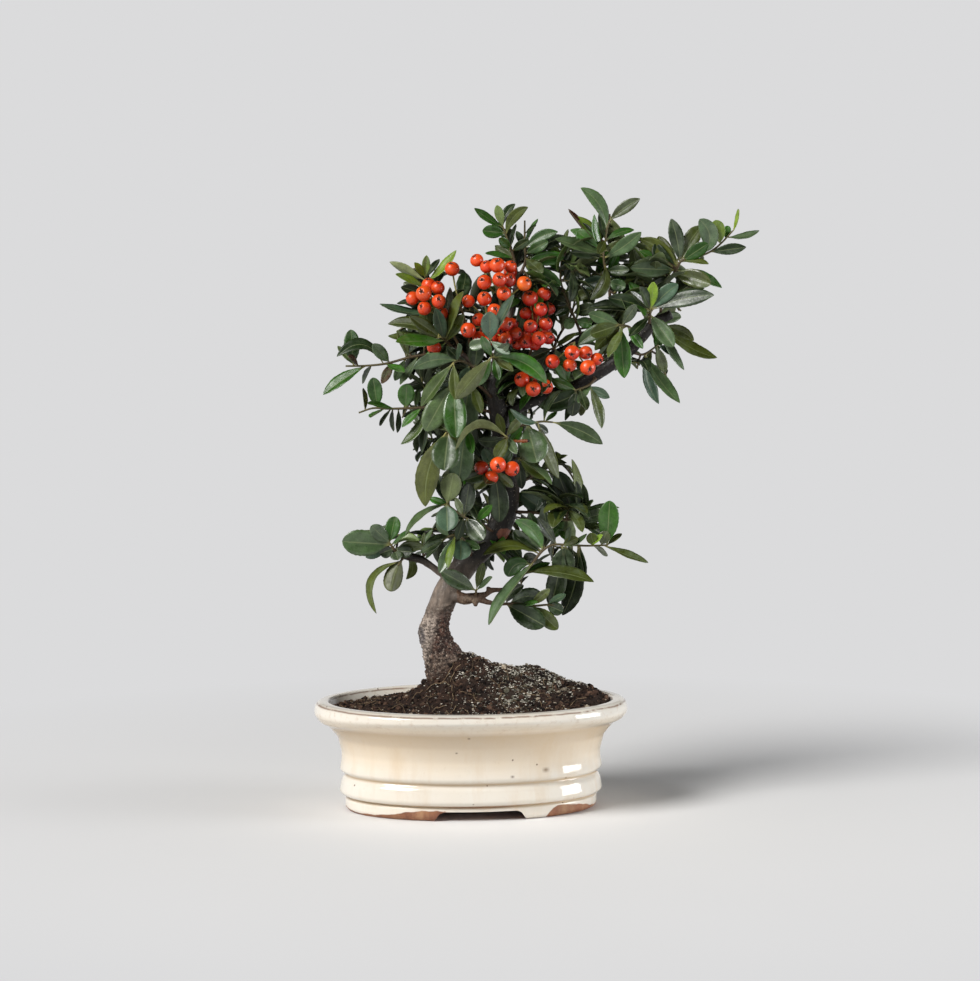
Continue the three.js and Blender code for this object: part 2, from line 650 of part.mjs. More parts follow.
    leaves: [[2.6, 123, -17, 134, 9, 4], [3.4, 123.5, 7, 139, 5, 2], [3, 123.4, 12, 131, 3, 9]],
  },
  {
    name: 'spray_right_middle',
    twig: [
      [25, 126.4, 9], [29, 131, 10], [36, 140, 12], [41, 146, 12], [46, 149, 12], [57, 149, 12], [66, 148.6, 12],
      [78, 149, 12],
    ],
    leaves: [
      [77.5, 149, 79, 174.3, 9, 2], [77.5, 149, 86, 155.5, 3, 9], [76, 149, 101, 139, 4, 1, 3],
      [51, 149, 66, 155.5, 3, 3, -2], [68, 148.8, 75, 155, 3, 3], [54, 149, 56.5, 159.5, 3.5, 5],
      [49, 149, 38, 165, 6, 4], [42, 146.8, 33, 167.5, 7, 2], [40.5, 145.6, 25, 163, 8, 5, -4],
      [41, 146, 40.5, 171.5, 6, -4, -2], [40, 145, 26, 153.5, 3, 12], [39, 144, 7, 143.5, 5.5, 8, -5],
      [36, 140, 10, 103.5, 5.5, 14, -3.5], [31, 133.4, 70, 128, 7, 8, 5], [30, 132, 45, 139, 4, -5],
      [34, 138, 21, 131, 9, 3, -4], [52, 149, 45, 113, 11, -14, 3], [61, 149, 52, 109, 12, -17, 6],
      [70, 149, 78, 143, 3, -10], [59, 149, 50, 157, 4, -11],
    ],
  },
  {
    name: 'spray_right_low',
    twig: [[16, 115.3, 10], [26, 115.6, 11], [36, 114.4, 11], [45, 115, 11], [53, 113.6, 11]],
    leaves: [
      [20, 115.5, 42, 103, 12, 7], [22, 115.6, 41, 119, 9, -8, 4], [28, 115.6, 38, 116.5, 3, 6],
      [35, 114.5, 49.5, 101, 8, 2], [34, 114.6, 45, 124, 5, 6], [43, 114.8, 54, 121, 4, -4],
    ],
  },
  {
    name: 'spray_right_dark',
    twig: [[25.5, 168, -2], [40, 167, -4], [52, 163.5, -5], [61, 163.4, -5]],
    leaves: [
      [60, 163.4, 49, 191, 12, -2], [60.6, 163.4, 60, 185.5, 4, 8], [61, 163.4, 57.5, 198, 5, -8, -5],
      [61, 163.4, 63.6, 184, 4, 2, -3], [61, 163.4, 69.5, 174.8, 3, 12], [61, 163.4, 84.5, 170.3, 4, -10, 3],
      [61, 163.3, 77, 167.5, 8, 4], [61, 163.2, 76.5, 161, 4, 9, -3], [58, 163.4, 77.5, 151.5, 6, -8, 2],
      [56, 163.4, 46.5, 184, 8, -9], [50, 164, 43, 174, 4, 9], [46, 165.4, 28.5, 178, 9, -5],
      [43, 166.2, 52, 158.5, 5, 8], [54, 163.4, 46, 153, 5, -8], [36, 167.2, 46, 181, 5, -12],
    ],
  },
  {
    name: 'spray_right_olive',
    twig: [[23, 198, -2], [27, 198.5, 3]],
    leaves: [[27, 198.4, 43, 187, 7, 4], [27, 198, 46, 183.5, 3, -6, 2], [27, 198.4, 38, 203, 5, -6]],
  },
  {
    name: 'spray_right_round',
    twig: [[19, 214, 1], [27, 216.6, 8], [33, 218, 13], [40, 219.4, 14], [46.5, 219, 14]],
    leaves: [
      [32, 217.8, 37.5, 196, 16, 7], [46.4, 219, 75, 206.5, 8.5, 3, 2], [41.4, 219.4, 51, 237, 4, 8, 2],
      [39, 219.3, 22.5, 226.5, 4.5, 6, 3], [42, 219.3, 49, 225, 2.5, -4], [38, 219, 50, 187, 8, -12, 3],
      [30, 217.5, 22, 207, 5, -3], [36, 218.8, 44, 213, 4, -8],
    ],
  },
  {
    name: 'spray_right_berry',
    twig: [[71, 244, 2], [67, 240, 8], [59, 237, 12]],
    leaves: [
      [65, 239.4, 39, 228, 10, 6, 2], [67.4, 240.4, 74.5, 215.5, 5.5, 2, 4], [60, 237.4, 57.5, 222.5, 7, -6],
      [62.4, 238.2, 53.5, 220, 4, -9], [69, 242, 61, 230, 4, 9], [60, 237.4, 46, 243, 6, -9], [66, 240, 79, 233, 5, -9],
      [62, 238, 66, 226, 5, 4],
    ],
  },
  {
    name: 'spray_right_yellow',
    twig: [[94.5, 268, 4], [90, 273.4, 10], [84, 274.6, 14]],
    leaves: [
      [85, 274.4, 87.3, 244.2, 9.5, 5], [84.4, 274.6, 68, 269, 8, 5], [89, 273.6, 70.5, 260, 7, 1, -2],
      [88, 273.6, 61, 263, 8, -6, -3], [86, 274.4, 94, 286, 6, 9], [89, 273.8, 98, 261, 5, 6],
      [87, 274, 78, 256, 5, -7], [85, 274.4, 67, 281, 7, 2],
    ],
  },
  {
    name: 'spray_right_whorl',
    twig: [[101.5, 275.5, 6.5], [102, 279.5, 9], [102.6, 283.4, 9]],
    leaves: [
      [102.4, 283, 91, 293.5, 4, 8], [102.5, 283.4, 90, 299, 6, -6], [102.7, 283.4, 104, 299, 6, 3],
      [102.8, 283.4, 118, 297.5, 8, 3, 1], [102.6, 283, 138.5, 291.5, 11, 9], [102.3, 282.5, 78, 290, 8, 3, -1],
      [102, 281, 66, 284, 6, -5, -2], [102.1, 280.4, 115.5, 262, 9, 9], [102, 280, 90, 268, 5, 10],
      [102.4, 282.8, 96, 296, 5, 12],
    ],
  },
  {
    name: 'spray_right_whorl_back',
    twig: [[101, 272, 0.5], [105.5, 274, -5], [109, 273.6, -8]],
    leaves: [
      [108.8, 273.4, 140.3, 255.8, 6.5, -2, 3], [109, 273.6, 127, 265.5, 6, 4, 2],
      [107, 274, 119.8, 279, 6, -6, 2], [106, 273.6, 121.5, 248.8, 4.5, -4, 2],
    ],
  },
  {
    name: 'spray_right_under',
    twig: [[93, 258.5, -2], [98, 257.6, -3], [106.8, 263.2, -3]],
    leaves: [
      [105.8, 262.6, 110.5, 247.5, 6, -2], [100, 258.8, 107, 229.5, 6.5, 2, -3], [98.5, 258, 119, 230, 7, 5, 2],
      [103, 260.6, 98, 250, 5, 5], [106.4, 263, 116, 258, 4, -8],
    ],
  },
  {
    name: 'spray_right_tip',
    twig: [
      [108, 281.5, 1], [109, 290, -1], [113, 300, 0], [117, 306, 2], [120, 311, 3], [128, 313, 3], [136, 316, 3],
      [142, 320.5, 3], [149, 328, 3],
    ],
    leaves: [
      [119, 309.4, 114, 335, 8, -2, -1], [120, 311, 131.5, 330.8, 6, -5, -2], [132, 314.6, 130, 334.6, 9.5, 3, -5],
      [120.4, 311, 135, 320.8, 7.5, 6], [142, 320.5, 139.5, 334.3, 8, 2], [149, 328, 152.2, 340.6, 2, 2, -1],
      [146, 324.6, 164.2, 328.3, 3.5, 1, 2], [136, 316, 156.8, 318.8, 5, 3, 2], [120, 310.6, 135.4, 309.2, 3, 8, 1],
      [117, 305.6, 143, 295.6, 5.5, -6, 4], [115.5, 303, 136.6, 297.6, 9.5, 8, 1], [117, 305.4, 91, 307, 9, 9],
      [118, 307.4, 105.5, 321, 6, -4, 3], [114, 301.4, 96, 316.5, 6, -3, -2], [112, 297.6, 121, 291, 6, -8],
      [118, 307.6, 110, 317, 4, 6], [114, 302, 103, 296, 6, 4],
    ],
  },
  {
    name: 'spray_top',
    twig: [[79.4, 286.5, 0], [78.5, 298, 2], [76.6, 306, 4], [75.5, 314, 5], [76.8, 324, 4], [78.4, 334, 3]],
    leaves: [
      [77.4, 328, 62.5, 352.6, 8.5, 1, -5], [78.3, 333.4, 96.3, 346.4, 5, 3, 2.5], [76.6, 323, 73, 338, 4, -5],
      [75.6, 316, 70.3, 337.4, 4, 5, 2], [75.5, 314.6, 48, 323.5, 6, 9], [75.5, 314.4, 60.5, 328, 9, 1],
      [75.6, 313, 57, 315.5, 6, 3, -1], [76, 309.6, 68, 289, 7, 14, 4], [75.6, 312.6, 97, 327.4, 8, 10, -1],
      [76.6, 322.5, 93, 328.6, 4, -2, 1.5], [76.6, 322, 84.5, 327.5, 3, -9], [75.6, 316.4, 86, 321.4, 5, 3],
      [76.6, 323, 72.5, 315, 5, 12], [77, 305, 90, 306, 6, 8], [78.4, 299, 88, 296, 7, 3], [78.6, 297, 71, 291, 5, -8],
      [75.8, 318.4, 66, 331, 5, -9], [75.6, 317.6, 60, 336.4, 4, -4, -2], [77.6, 302, 84, 315, 5, -9],
      [78, 301.4, 64, 297, 7, -4],
    ],
  },
  {
    name: 'spray_top_middle',
    twig: [[26.2, 303, -1], [24.6, 312, 0], [22.4, 318.6, 1], [20, 325.4, 1], [18.1, 330.6, 1]],
    leaves: [
      [18.3, 330, 1.9, 341, 4.5, 1, -2], [18.2, 330.5, 14.7, 342.7, 5, 4], [18.2, 330.4, 25.2, 343.4, 4.5, -4, 2],
      [20, 325.6, 32.5, 341.6, 6, 4, 3], [19.4, 326.8, 6.5, 328.2, 7, 5], [22.6, 318, 16, 324, 5, 8],
      [24.4, 312.6, 8.1, 315.4, 4, 4], [23, 316.6, 33, 323, 5, 6], [22.2, 319, 25.6, 332, 5, -6],
      [21, 323, 12, 334, 5, -7], [25, 311, 14, 319, 6, -5],
    ],
  },
  {
    name: 'spray_top_middle_right',
    twig: [[28, 303, -1.5], [31, 311, -2], [30.6, 320, -2], [30.6, 334, -2]],
    leaves: [
      [30.8, 315, 44, 322.2, 6, 5], [30.7, 318, 49.5, 327.5, 6, 3, 2], [31, 311, 53, 313.5, 8, 1],
      [30, 309, 51.5, 297, 8, 3], [30.6, 326.8, 37, 331.6, 3, 3], [30.7, 317, 26, 328, 4, -9],
      [30.6, 321, 38, 335, 4, -7], [31, 312.6, 41, 304, 6, 9], [31, 311, 40, 317, 6, -8],
    ],
  },
  {
    name: 'spray_upper_right_inner',
    twig: [[63, 268.5, -7], [60, 276, -8], [55, 288, -8], [51, 300, -7], [51.5, 312, -6]],
    leaves: [
      [51.5, 311.6, 67.6, 302, 4, 14, 1], [59, 279, 53.7, 272.5, 6, 12], [52, 299, 66, 305, 6, 3],
      [55, 288, 69, 294, 6, 4], [51, 301, 57, 315, 6, -6], [56, 286.6, 46, 290, 7, -4], [51.4, 305, 43, 314, 5, -6],
      [51.4, 310.6, 55.3, 329, 3, -4], [58.6, 281.4, 71, 285, 7, 8], [51.5, 311.4, 46, 319, 5, 3],
      [53.4, 293, 63, 301, 5, -10], [60, 277, 69, 275, 6, 2], [57, 284, 48, 280, 7, 6],
    ],
  },
  {
    name: 'spray_middle_round',
    twig: [[15.6, 258.6, -2], [13.6, 257.6, 13], [11, 259.6, 27], [10.7, 265.4, 31]],
    leaves: [
      [10.7, 266.2, 10.8, 282.1, 9.5, 5], [10.8, 266, 24.5, 291.7, 5, 8], [11, 265.6, 22, 258, 5, 6],
      [11, 266, -1, 262, 6, 4],
    ],
  },
  {
    name: 'spray_middle_dark',
    twig: [[38, 255.5, -6], [43, 259.5, 2], [48, 261.6, 6]],
    leaves: [
      [44, 260, 38, 246, 7, 6], [47.6, 261.6, 54.6, 243, 8, -2], [47, 261.4, 41, 274, 6, -9], [48, 261.6, 60, 270, 5, -6],
      [46, 260.8, 34, 256, 6, 4], [48, 261.6, 50, 248, 5, -10],
    ],
  },
];

// Sprays that the front view hides: a twig's places, then how many leaves stand round it, and their length
const HIDDEN_SPRAYS = [
  ['spray_back_crown_left', [[2, 252, -2], [-8, 262, -14], [-14, 276, -24], [-16, 288, -27]], 9, 24],
  ['spray_back_crown_middle', [[24, 287, -5], [22, 296, -17], [24, 306, -26], [22, 318, -29]], 9, 25],
  ['spray_back_crown_right', [[46, 258, -9], [50, 268, -21], [57, 280, -29], [60, 293, -31]], 9, 26],
  ['spray_back_left', [[13, 229, -5], [0, 234, -18], [-14, 240, -28], [-24, 243, -32]], 9, 25],
  ['spray_back_heart', [[17, 212, -8], [14, 216, -22], [8, 223, -34], [4, 230, -40]], 9, 26],
  ['spray_back_right', [[50, 236, -9], [54, 236, -22], [60, 241, -32], [66, 248, -36]], 8, 26],
  ['spray_back_far_right', [[97, 270, -2], [100, 278, -14], [106, 287, -22], [112, 294, -25]], 8, 25],
  ['spray_back_trunk', [[20, 184, -11], [15, 187, -22], [7, 191, -32], [1, 197, -37]], 8, 26],
  ['spray_back_low', [[14, 158, -10], [12, 160, -22], [8, 164, -31], [2, 168, -36]], 8, 25],
  ['spray_right_depth', [[24, 183, -6], [33, 187, -14], [42, 192, -22], [50, 197, -26]], 8, 25],
];

// How far in front of or behind its reading a leaf's tip may be bent to pass its neighbours
const BENDS = [0, 3, -3, 6, -6, 9, -9, 12, -12, 16, -16, 20, -20];

// The point of a path of readings that is nearest to a reading, as a reading
function nearestOnPath(path, across, up) {
  let best = null;
  for (let i = 0; i + 1 < path.length; i += 1) {
    const [a0, u0, n0] = path[i];
    const [a1, u1, n1] = path[i + 1];
    const run = (a1 - a0) ** 2 + (u1 - u0) ** 2;
    const t = Math.min(1, Math.max(0, ((across - a0) * (a1 - a0) + (up - u0) * (u1 - u0)) / run));
    const spot = [a0 + t * (a1 - a0), u0 + t * (u1 - u0), n0 + t * (n1 - n0)];
    const away = Math.hypot(across - spot[0], up - spot[1]);
    if (!best || away < best.away) best = { away, spot };
  }
  return best.spot;
}

// A leaf's rib: a bowed line from its root on the twig to its tip
function ribPoint(root, tip, bowed, s) {
  const middle = root.clone().add(tip).multiplyScalar(0.5).add(bowed);
  const control = middle.multiplyScalar(2).addScaledVector(root, -0.5).addScaledVector(tip, -0.5);
  const point = root.clone().multiplyScalar((1 - s) ** 2);
  point.addScaledVector(control, 2 * s * (1 - s));
  return point.addScaledVector(tip, s ** 2);
}

// A leaf: a keeled blade, widest past its middle. A section is its left edge, right edge and rib, and the
// root is a face of the twig
const LARGE_STATIONS = [[0.36, 0.66], [0.66, 1], [0.89, 0.68]];
const SMALL_STATIONS = [[0.42, 0.8], [0.8, 0.9]];
const SMALL_LEAF = 18;
const PETIOLE = [0.1, 0.12];

function leafRings(foot, tip, bowed, face, width, stalked) {
  const length = foot.distanceTo(tip);
  const stations = length < SMALL_LEAF ? [...SMALL_STATIONS] : [...LARGE_STATIONS];
  if (stalked) stations.unshift(PETIOLE);
  return stations.map(([s, share]) => {
    const at = ribPoint(foot, tip, bowed, s);
    const ahead = ribPoint(foot, tip, bowed, s + 0.05).sub(ribPoint(foot, tip, bowed, s - 0.05)).normalize();
    const up = face.clone().addScaledVector(ahead, -face.dot(ahead)).normalize();
    const side = new THREE.Vector3().crossVectors(ahead, up);
    const half = Math.max((share * width) / 2, 0.6);
    const lift = LEAF_FOLD * half;
    const left = at.clone().addScaledVector(side, -half).addScaledVector(up, lift);
    const right = at.clone().addScaledVector(side, half).addScaledVector(up, lift);
    return [left, right, at.clone().addScaledVector(up, -LEAF_THICK)];
  });
}

// Which way a leaf's upper face looks, from how wide the leaf seems from the front
function leafFace(root, tip, seenWidth, trueWidth, pick) {
  const along = tip.clone().sub(root).normalize();
  const sight = viewer.clone().sub(root).normalize();
  if (seenWidth < 0) sight.negate();
  sight.addScaledVector(along, -sight.dot(along)).normalize();
  const turn = Math.acos(Math.min(1, Math.abs(seenWidth) / trueWidth));
  const one = sight.clone().applyAxisAngle(along, turn);
  const two = sight.clone().applyAxisAngle(along, -turn);
  if (Math.abs(one.z - two.z) < 0.2) return pick < 0.5 ? one : two;
  return one.z > two.z ? one : two;
}

// A laid leaf's way: its tip, bow, face and width for a root on the twig
function laidLeaf(path, leaf, pick) {
  const [baseAcross, baseUp, tipAcross, tipUp, seenWidth, near, bow = 0] = leaf;
  const spot = nearestOnPath(path, baseAcross, baseUp);
  const root = place(spot);
  const flat = Math.hypot(tipAcross - spot[0], tipUp - spot[1]);
  const bowed = new THREE.Vector3();
  bowed.addScaledVector(viewRight, (-bow * (tipUp - spot[1])) / flat);
  bowed.addScaledVector(viewUp, (bow * (tipAcross - spot[0])) / flat);
  return {
    root,
    shape(bend) {
      const tip = place([tipAcross, tipUp, spot[2] + near + bend]);
      const width = Math.max(Math.abs(seenWidth), 0.24 * root.distanceTo(tip) + 1);
      return { tip, bowed, width, face: leafFace(root, tip, seenWidth, width, pick) };
    },
  };
}

// A leaf of a hidden spray: set round its twig by the golden angle, rising and arching
const GOLDEN_ANGLE = THREE.MathUtils.degToRad(137.5);

function turnedLeaf(points, index, count, size, turnStart, draws) {
  const t = (0.22 + (0.76 * index) / (count - 1)) * (points.length - 1);
  const from = Math.min(Math.floor(t), points.length - 2);
  const root = points[from].clone().lerp(points[from + 1], t - from);
  const along = points[from + 1].clone().sub(points[from]).normalize();
  const side = new THREE.Vector3(0.2, 0.3, 1);
  side.addScaledVector(along, -side.dot(along)).normalize();
  return {
    root,
    shape(bend) {
      const out = side.clone().applyAxisAngle(along, turnStart + GOLDEN_ANGLE * index + bend * 0.05);
      const heading = out.clone().addScaledVector(along, 0.35 + 0.5 * draws[0]).normalize();
      heading.z += 0.15 - 0.3 * draws[1];
      heading.normalize();
      const length = size * (0.8 + 0.35 * draws[2]);
      const tip = root.clone().addScaledVector(heading, length);
      const face = new THREE.Vector3(0, 0, 1).addScaledVector(out, -0.3).addScaledVector(along, 0.3);
      face.addScaledVector(heading, -face.dot(heading)).normalize();
      return { tip, bowed: face.clone().multiplyScalar(0.1 * length), width: 0.24 * length + 1.6, face };
    },
  };
}

// Everything that is placed keeps clear of what stands already
const standing = [];

function apart(one, other, room) {
  for (let axis = 0; axis < 3; axis += 1) {
    if (one.min[axis] > other.max[axis] + room || one.max[axis] < other.min[axis] - room) return true;
  }
  return false;
}

function boxed(shape, node) {
  return { shape, box: shape.boundingBox(), node };
}

function clear(one, among) {
  return among.every((other) => {
    return apart(one.box, other.box, GAP) || one.shape.minGap(other.shape, 2 * GAP) >= GAP;
  });
}

// Whether an edge passes through a triangle
function pierces(from, to, [a, b, c]) {
  const way = to.clone().sub(from);
  const one = b.clone().sub(a);
  const two = c.clone().sub(a);
  const normal = new THREE.Vector3().crossVectors(way, two);
  const size = one.dot(normal);
  if (Math.abs(size) < 1e-9) return false;
  const start = from.clone().sub(a);
  const u = start.dot(normal) / size;
  if (u < 0 || u > 1) return false;
  const turned = start.cross(one);
  const v = way.dot(turned) / size;
  if (v < 0 || u + v > 1) return false;
  const t = two.dot(turned) / size;
  return t >= 0 && t <= 1;
}

function boundsOf(triangle) {
  const box = new THREE.Box3().setFromPoints(triangle);
  return box.expandByScalar(0.01);
}

// Whether two triangles of one skin cross. Corners that they share, as the same point, don't count.
function crossing(one, two) {
  const shared = one.filter((p) => two.includes(p)).length;
  if (shared > 1) return false;
  for (const [edges, other] of [[one, two], [two, one]]) {
    for (let i = 0; i < 3; i += 1) {
      const from = edges[i];
      const to = edges[(i + 1) % 3];
      if (other.includes(from) || other.includes(to)) continue;
      if (pierces(from, to, other)) return true;
    }
  }
  return false;
}

// Triangles with their boxes, and whether new ones cross each other or the old ones
function patchOf(triangles) {
  return triangles.map((triangle) => ({ triangle, box: boundsOf(triangle) }));
}

function crossesAny(patch, old) {
  return patch.some((one, i) => {
    const meets = (two) => one.box.intersectsBox(two.box) && crossing(one.triangle, two.triangle);
    return patch.slice(i + 1).some(meets) || old.some(meets);
  });
}

// A twig: three-sided, with a short joint wherever leaves leave it. A leaf grows out of one face of a joint.
const TWIG_SIDES = 3;
const JOINT = 1.7;

class Twig {
  constructor(path) {
    this.path = path;
    this.lengths = [0];
    for (let i = 1; i < path.length; i += 1) {
      this.lengths.push(this.lengths[i - 1] + path[i].distanceTo(path[i - 1]));
    }
    this.length = this.lengths[path.length - 1];
    this.joints = [];
  }

  // How far along the twig a point of its path is
  measure(point) {
    let best = null;
    for (let i = 0; i + 1 < this.path.length; i += 1) {
      const line = new THREE.Line3(this.path[i], this.path[i + 1]);
      const t = line.closestPointToPointParameter(point, true);
      const away = line.at(t, new THREE.Vector3()).distanceTo(point);
      const at = this.lengths[i] + t * (this.lengths[i + 1] - this.lengths[i]);
      if (!best || away < best.away) best = { away, at };
    }
    return best.at;
  }

  pointAt(at) {
    const last = this.path.length - 1;
    let i = 0;
    while (i + 1 < last && this.lengths[i + 1] < at) i += 1;
    const t = (at - this.lengths[i]) / (this.lengths[i + 1] - this.lengths[i]);
    return this.path[i].clone().lerp(this.path[i + 1], t);
  }

  directionAt(at) {
    return this.pointAt(at + 0.2).sub(this.pointAt(at - 0.2)).normalize();
  }

  radiusAt(at) {
    const t = Math.min(1, Math.max(0, at / this.length));
    return TWIG_RADIUS + (TWIG_TIP_RADIUS - TWIG_RADIUS) * t;
  }

  // Joints are laid out for leaves that want to leave at these places, in order along the twig
  layJoints(wanted) {
    let free = 0;
    for (const at of wanted) {
      const last = this.joints[this.joints.length - 1];
      const crowded = last && last.wanted >= 2;
      if (last && at < last.to + 0.5 && !crowded) {
        last.wanted += 1;
      } else {
        const from = Math.max(at - JOINT / 2, free);
        this.joints.push({ from, to: from + JOINT, wanted: 1, taken: [false, false, false] });
        free = from + JOINT;
      }
    }
    this.end = Math.max(this.length, free);
    const marks = new Set([0, this.end]);
    for (const joint of this.joints) marks.add(joint.from).add(joint.to);
    const bends = this.lengths.slice(1, -1).filter((at) => [...marks].every((m) => Math.abs(m - at) > 1.2));
    for (const at of bends) {
      if (this.joints.every((joint) => at < joint.from || at > joint.to)) marks.add(at);
    }
    this.marks = [...marks].sort((one, two) => one - two).filter((m, i, all) => !i || m - all[i - 1] > 0.05);
    this.rings = [];
    let side = new THREE.Vector3(0.9, 0.3, 0.35);
    for (const at of this.marks) {
      const along = this.directionAt(at);
      side = side.clone().addScaledVector(along, -side.dot(along)).normalize();
      const other = new THREE.Vector3().crossVectors(along, side);
      const ring = [];
      for (let k = 0; k < TWIG_SIDES; k += 1) {
        const turn = (2 * Math.PI * k) / TWIG_SIDES;
        const point = this.pointAt(at).addScaledVector(side, Math.cos(turn) * this.radiusAt(at));
        ring.push(point.addScaledVector(other, Math.sin(turn) * this.radiusAt(at)));
      }
      this.rings.push(ring);
    }
    this.leaves = [];
    this.solid = loft(this.rings);
    this.patches = patchOf([this.rings[0], this.rings[this.rings.length - 1]]);
    for (let ring = 0; ring + 1 < this.rings.length; ring += 1) {
      for (let k = 0; k < TWIG_SIDES; k += 1) {
        const next = (k + 1) % TWIG_SIDES;
        const [a, b, c, d] = [[ring, k], [ring, next], [ring + 1, next], [ring + 1, k]].map(([i, j]) => this.rings[i][j]);
        for (const part of patchOf([[a, b, c], [a, c, d]])) this.patches.push({ ...part, key: `${ring}-${k}` });
      }
    }
  }

  // The corners of a joint's face, in the order in which the twig's skin goes round them
  corners(joint, k) {
    const ring = this.marks.findIndex((m) => Math.abs(m - joint.from) <= 0.05);
    const next = (k + 1) % TWIG_SIDES;
    return [[ring, k], [ring, next], [ring + 1, next], [ring + 1, k]];
  }

  // The whole skin: the twig's faces without those that leaves grow from, and the leaves
  skin() {
    const points = this.rings.flat();
    const faces = [];
    const used = new Set(this.leaves.map(({ key }) => key));
    for (let ring = 0; ring + 1 < this.rings.length; ring += 1) {
      for (let k = 0; k < TWIG_SIDES; k += 1) {
        const a = ring * TWIG_SIDES + k;
        const b = ring * TWIG_SIDES + ((k + 1) % TWIG_SIDES);
        if (!used.has(`${ring}-${k}`)) faces.push([a, b, b + TWIG_SIDES], [a, b + TWIG_SIDES, a + TWIG_SIDES]);
      }
    }
    const last = (this.rings.length - 1) * TWIG_SIDES;
    faces.push([0, 2, 1], [last, last + 1, last + 2]);
    for (const { corners, rings, tip } of this.leaves) {
      const loop = corners.map(([ring, k]) => ring * TWIG_SIDES + k);
      const start = points.length;
      points.push(...rings.flat(), tip);
      const all = [...loop, start, start + 1, start + 2];
      for (const face of GRAFT) faces.push(face.map((i) => all[i]));
      for (const face of bladeFaces(rings.length)) faces.push(face.map((i) => start + i));
    }
    return solid(points, faces);
  }
}

function middleOf(points) {
  const sum = new THREE.Vector3();
  points.forEach((p) => sum.add(p));
  return sum.divideScalar(points.length);
}

// The skin from a face's four corners to a leaf's first section, whose last corner takes two of them
const GRAFT = [[0, 1, 5], [0, 5, 4], [1, 2, 6], [1, 6, 5], [2, 3, 6], [3, 0, 4], [3, 4, 6]];

function bladeFaces(sections) {
  const faces = [];
  for (let start = 0; start < 3 * sections; start += 3) {
    for (let i = 0; i < 3; i += 1) {
      const j = (i + 1) % 3;
      if (start < 3 * (sections - 1)) {
        faces.push([start + i, start + j, start + 3 + j], [start + i, start + 3 + j, start + 3 + i]);
      } else {
        faces.push([start + i, start + j, start + 3]);
      }
    }
  }
  return faces;
}

// A face's corners and a leaf's sections, in the ways in which they can be joined, the closest first
function joinings(corners, loop, rings) {
  const round = (list, by) => list.map((_, i) => list[(i + by) % list.length]);
  const ways = [];
  for (const turned of [rings, rings.map((ring) => [...ring].reverse())]) {
    for (let from = 0; from < 4; from += 1) {
      for (let shift = 0; shift < 3; shift += 1) {
        const cost = [0, 1, 2, 2].reduce((sum, corner, i) => {
          return sum + loop[(from + i) % 4].distanceTo(turned[0][(shift + corner) % 3]);
        }, 0);
        ways.push({
          cost,
          corners: round(corners, from),
          loop: round(loop, from),
          rings: turned.map((ring) => round(ring, shift)),
        });
      }
    }
  }
  return ways.sort((one, two) => one.cost - two.cost).slice(0, 6);
}

// Grows one leaf from a face of a joint near its root, in the first way that keeps clear of everything
function growLeaf(twig, way, name) {
  const at = twig.measure(way.root);
  const nearby = twig.joints.filter((joint) => Math.abs((joint.from + joint.to) / 2 - at) < 6);
  nearby.sort((one, two) => Math.abs(one.from + JOINT / 2 - at) - Math.abs(two.from + JOINT / 2 - at));
  const others = standing.filter(({ node }) => node !== name);
  for (const stalked of [false, true]) {
    for (const bend of BENDS) {
      const { tip, bowed, width, face } = way.shape(bend);
      for (const joint of nearby) {
        const sides = [0, 1, 2].filter((k) => !joint.taken[k]).map((k) => {
          const corners = twig.corners(joint, k);
          const loop = corners.map(([ring, corner]) => twig.rings[ring][corner]);
          const foot = middleOf(loop);
          const out = foot.clone().sub(twig.pointAt((joint.from + joint.to) / 2)).normalize();
          return { k, corners, loop, foot, facing: out.dot(tip.clone().sub(foot).normalize()) };
        });
        sides.sort((one, two) => two.facing - one.facing);
        for (const { k, corners, loop, foot, facing } of sides) {
          if (facing < 0.02) continue;
          const key = `${corners[0][0]}-${k}`;
          const old = [...twig.patches.filter((patch) => patch.key !== key)];
          for (const { patches } of twig.leaves) old.push(...patches);
          const raw = leafRings(foot, tip, bowed, face, width, stalked);
          for (const leaf of joinings(corners, loop, raw)) {
            const points = [...leaf.loop, ...leaf.rings.flat(), tip];
            const faces = [...GRAFT, ...bladeFaces(leaf.rings.length).map((f) => f.map((i) => i + 4))];
            const patches = patchOf(faces.map((f) => f.map((i) => points[i])));
            if (crossesAny(patches, old)) continue;
            const root = solid([...leaf.loop, ...leaf.rings[0]], [...GRAFT, [0, 2, 1], [0, 3, 2], [4, 5, 6]]);
            const blade = loft(leaf.rings, null, tip.clone());
            const tests = [boxed(root, name), boxed(blade, name)];
            if (!tests.every((test) => clear(test, others))) break;
            joint.taken[k] = true;
            twig.leaves.push({ ...leaf, key, tip, patches });
            standing.push(...tests);
            return true;
          }
        }
      }
    }
  }
  return false;
}

// Build it all
const group = new THREE.Group();

function addNode(name, shape, colour, roughness) {
  const mesh = shape.getMesh();
  const geometry = new THREE.BufferGeometry();
  const positions = new Float32Array(mesh.numVert * 3);
  for (let i = 0; i < mesh.numVert; i += 1) {
    for (let axis = 0; axis < 3; axis += 1) {
      positions[3 * i + axis] = mesh.vertProperties[mesh.numProp * i + axis];
    }
  }
  geometry.setAttribute('position', new THREE.BufferAttribute(positions, 3));
  geometry.setIndex(new THREE.BufferAttribute(mesh.triVerts, 1));
  geometry.translate(-WHOLE_MIDDLE[0], -WHOLE_MIDDLE[1], 0);
  geometry.computeVertexNormals();
  const material = new THREE.MeshStandardMaterial({ color: colour, roughness });
  const node = new THREE.Mesh(geometry, material);
  node.name = name;
  group.add(node);
}

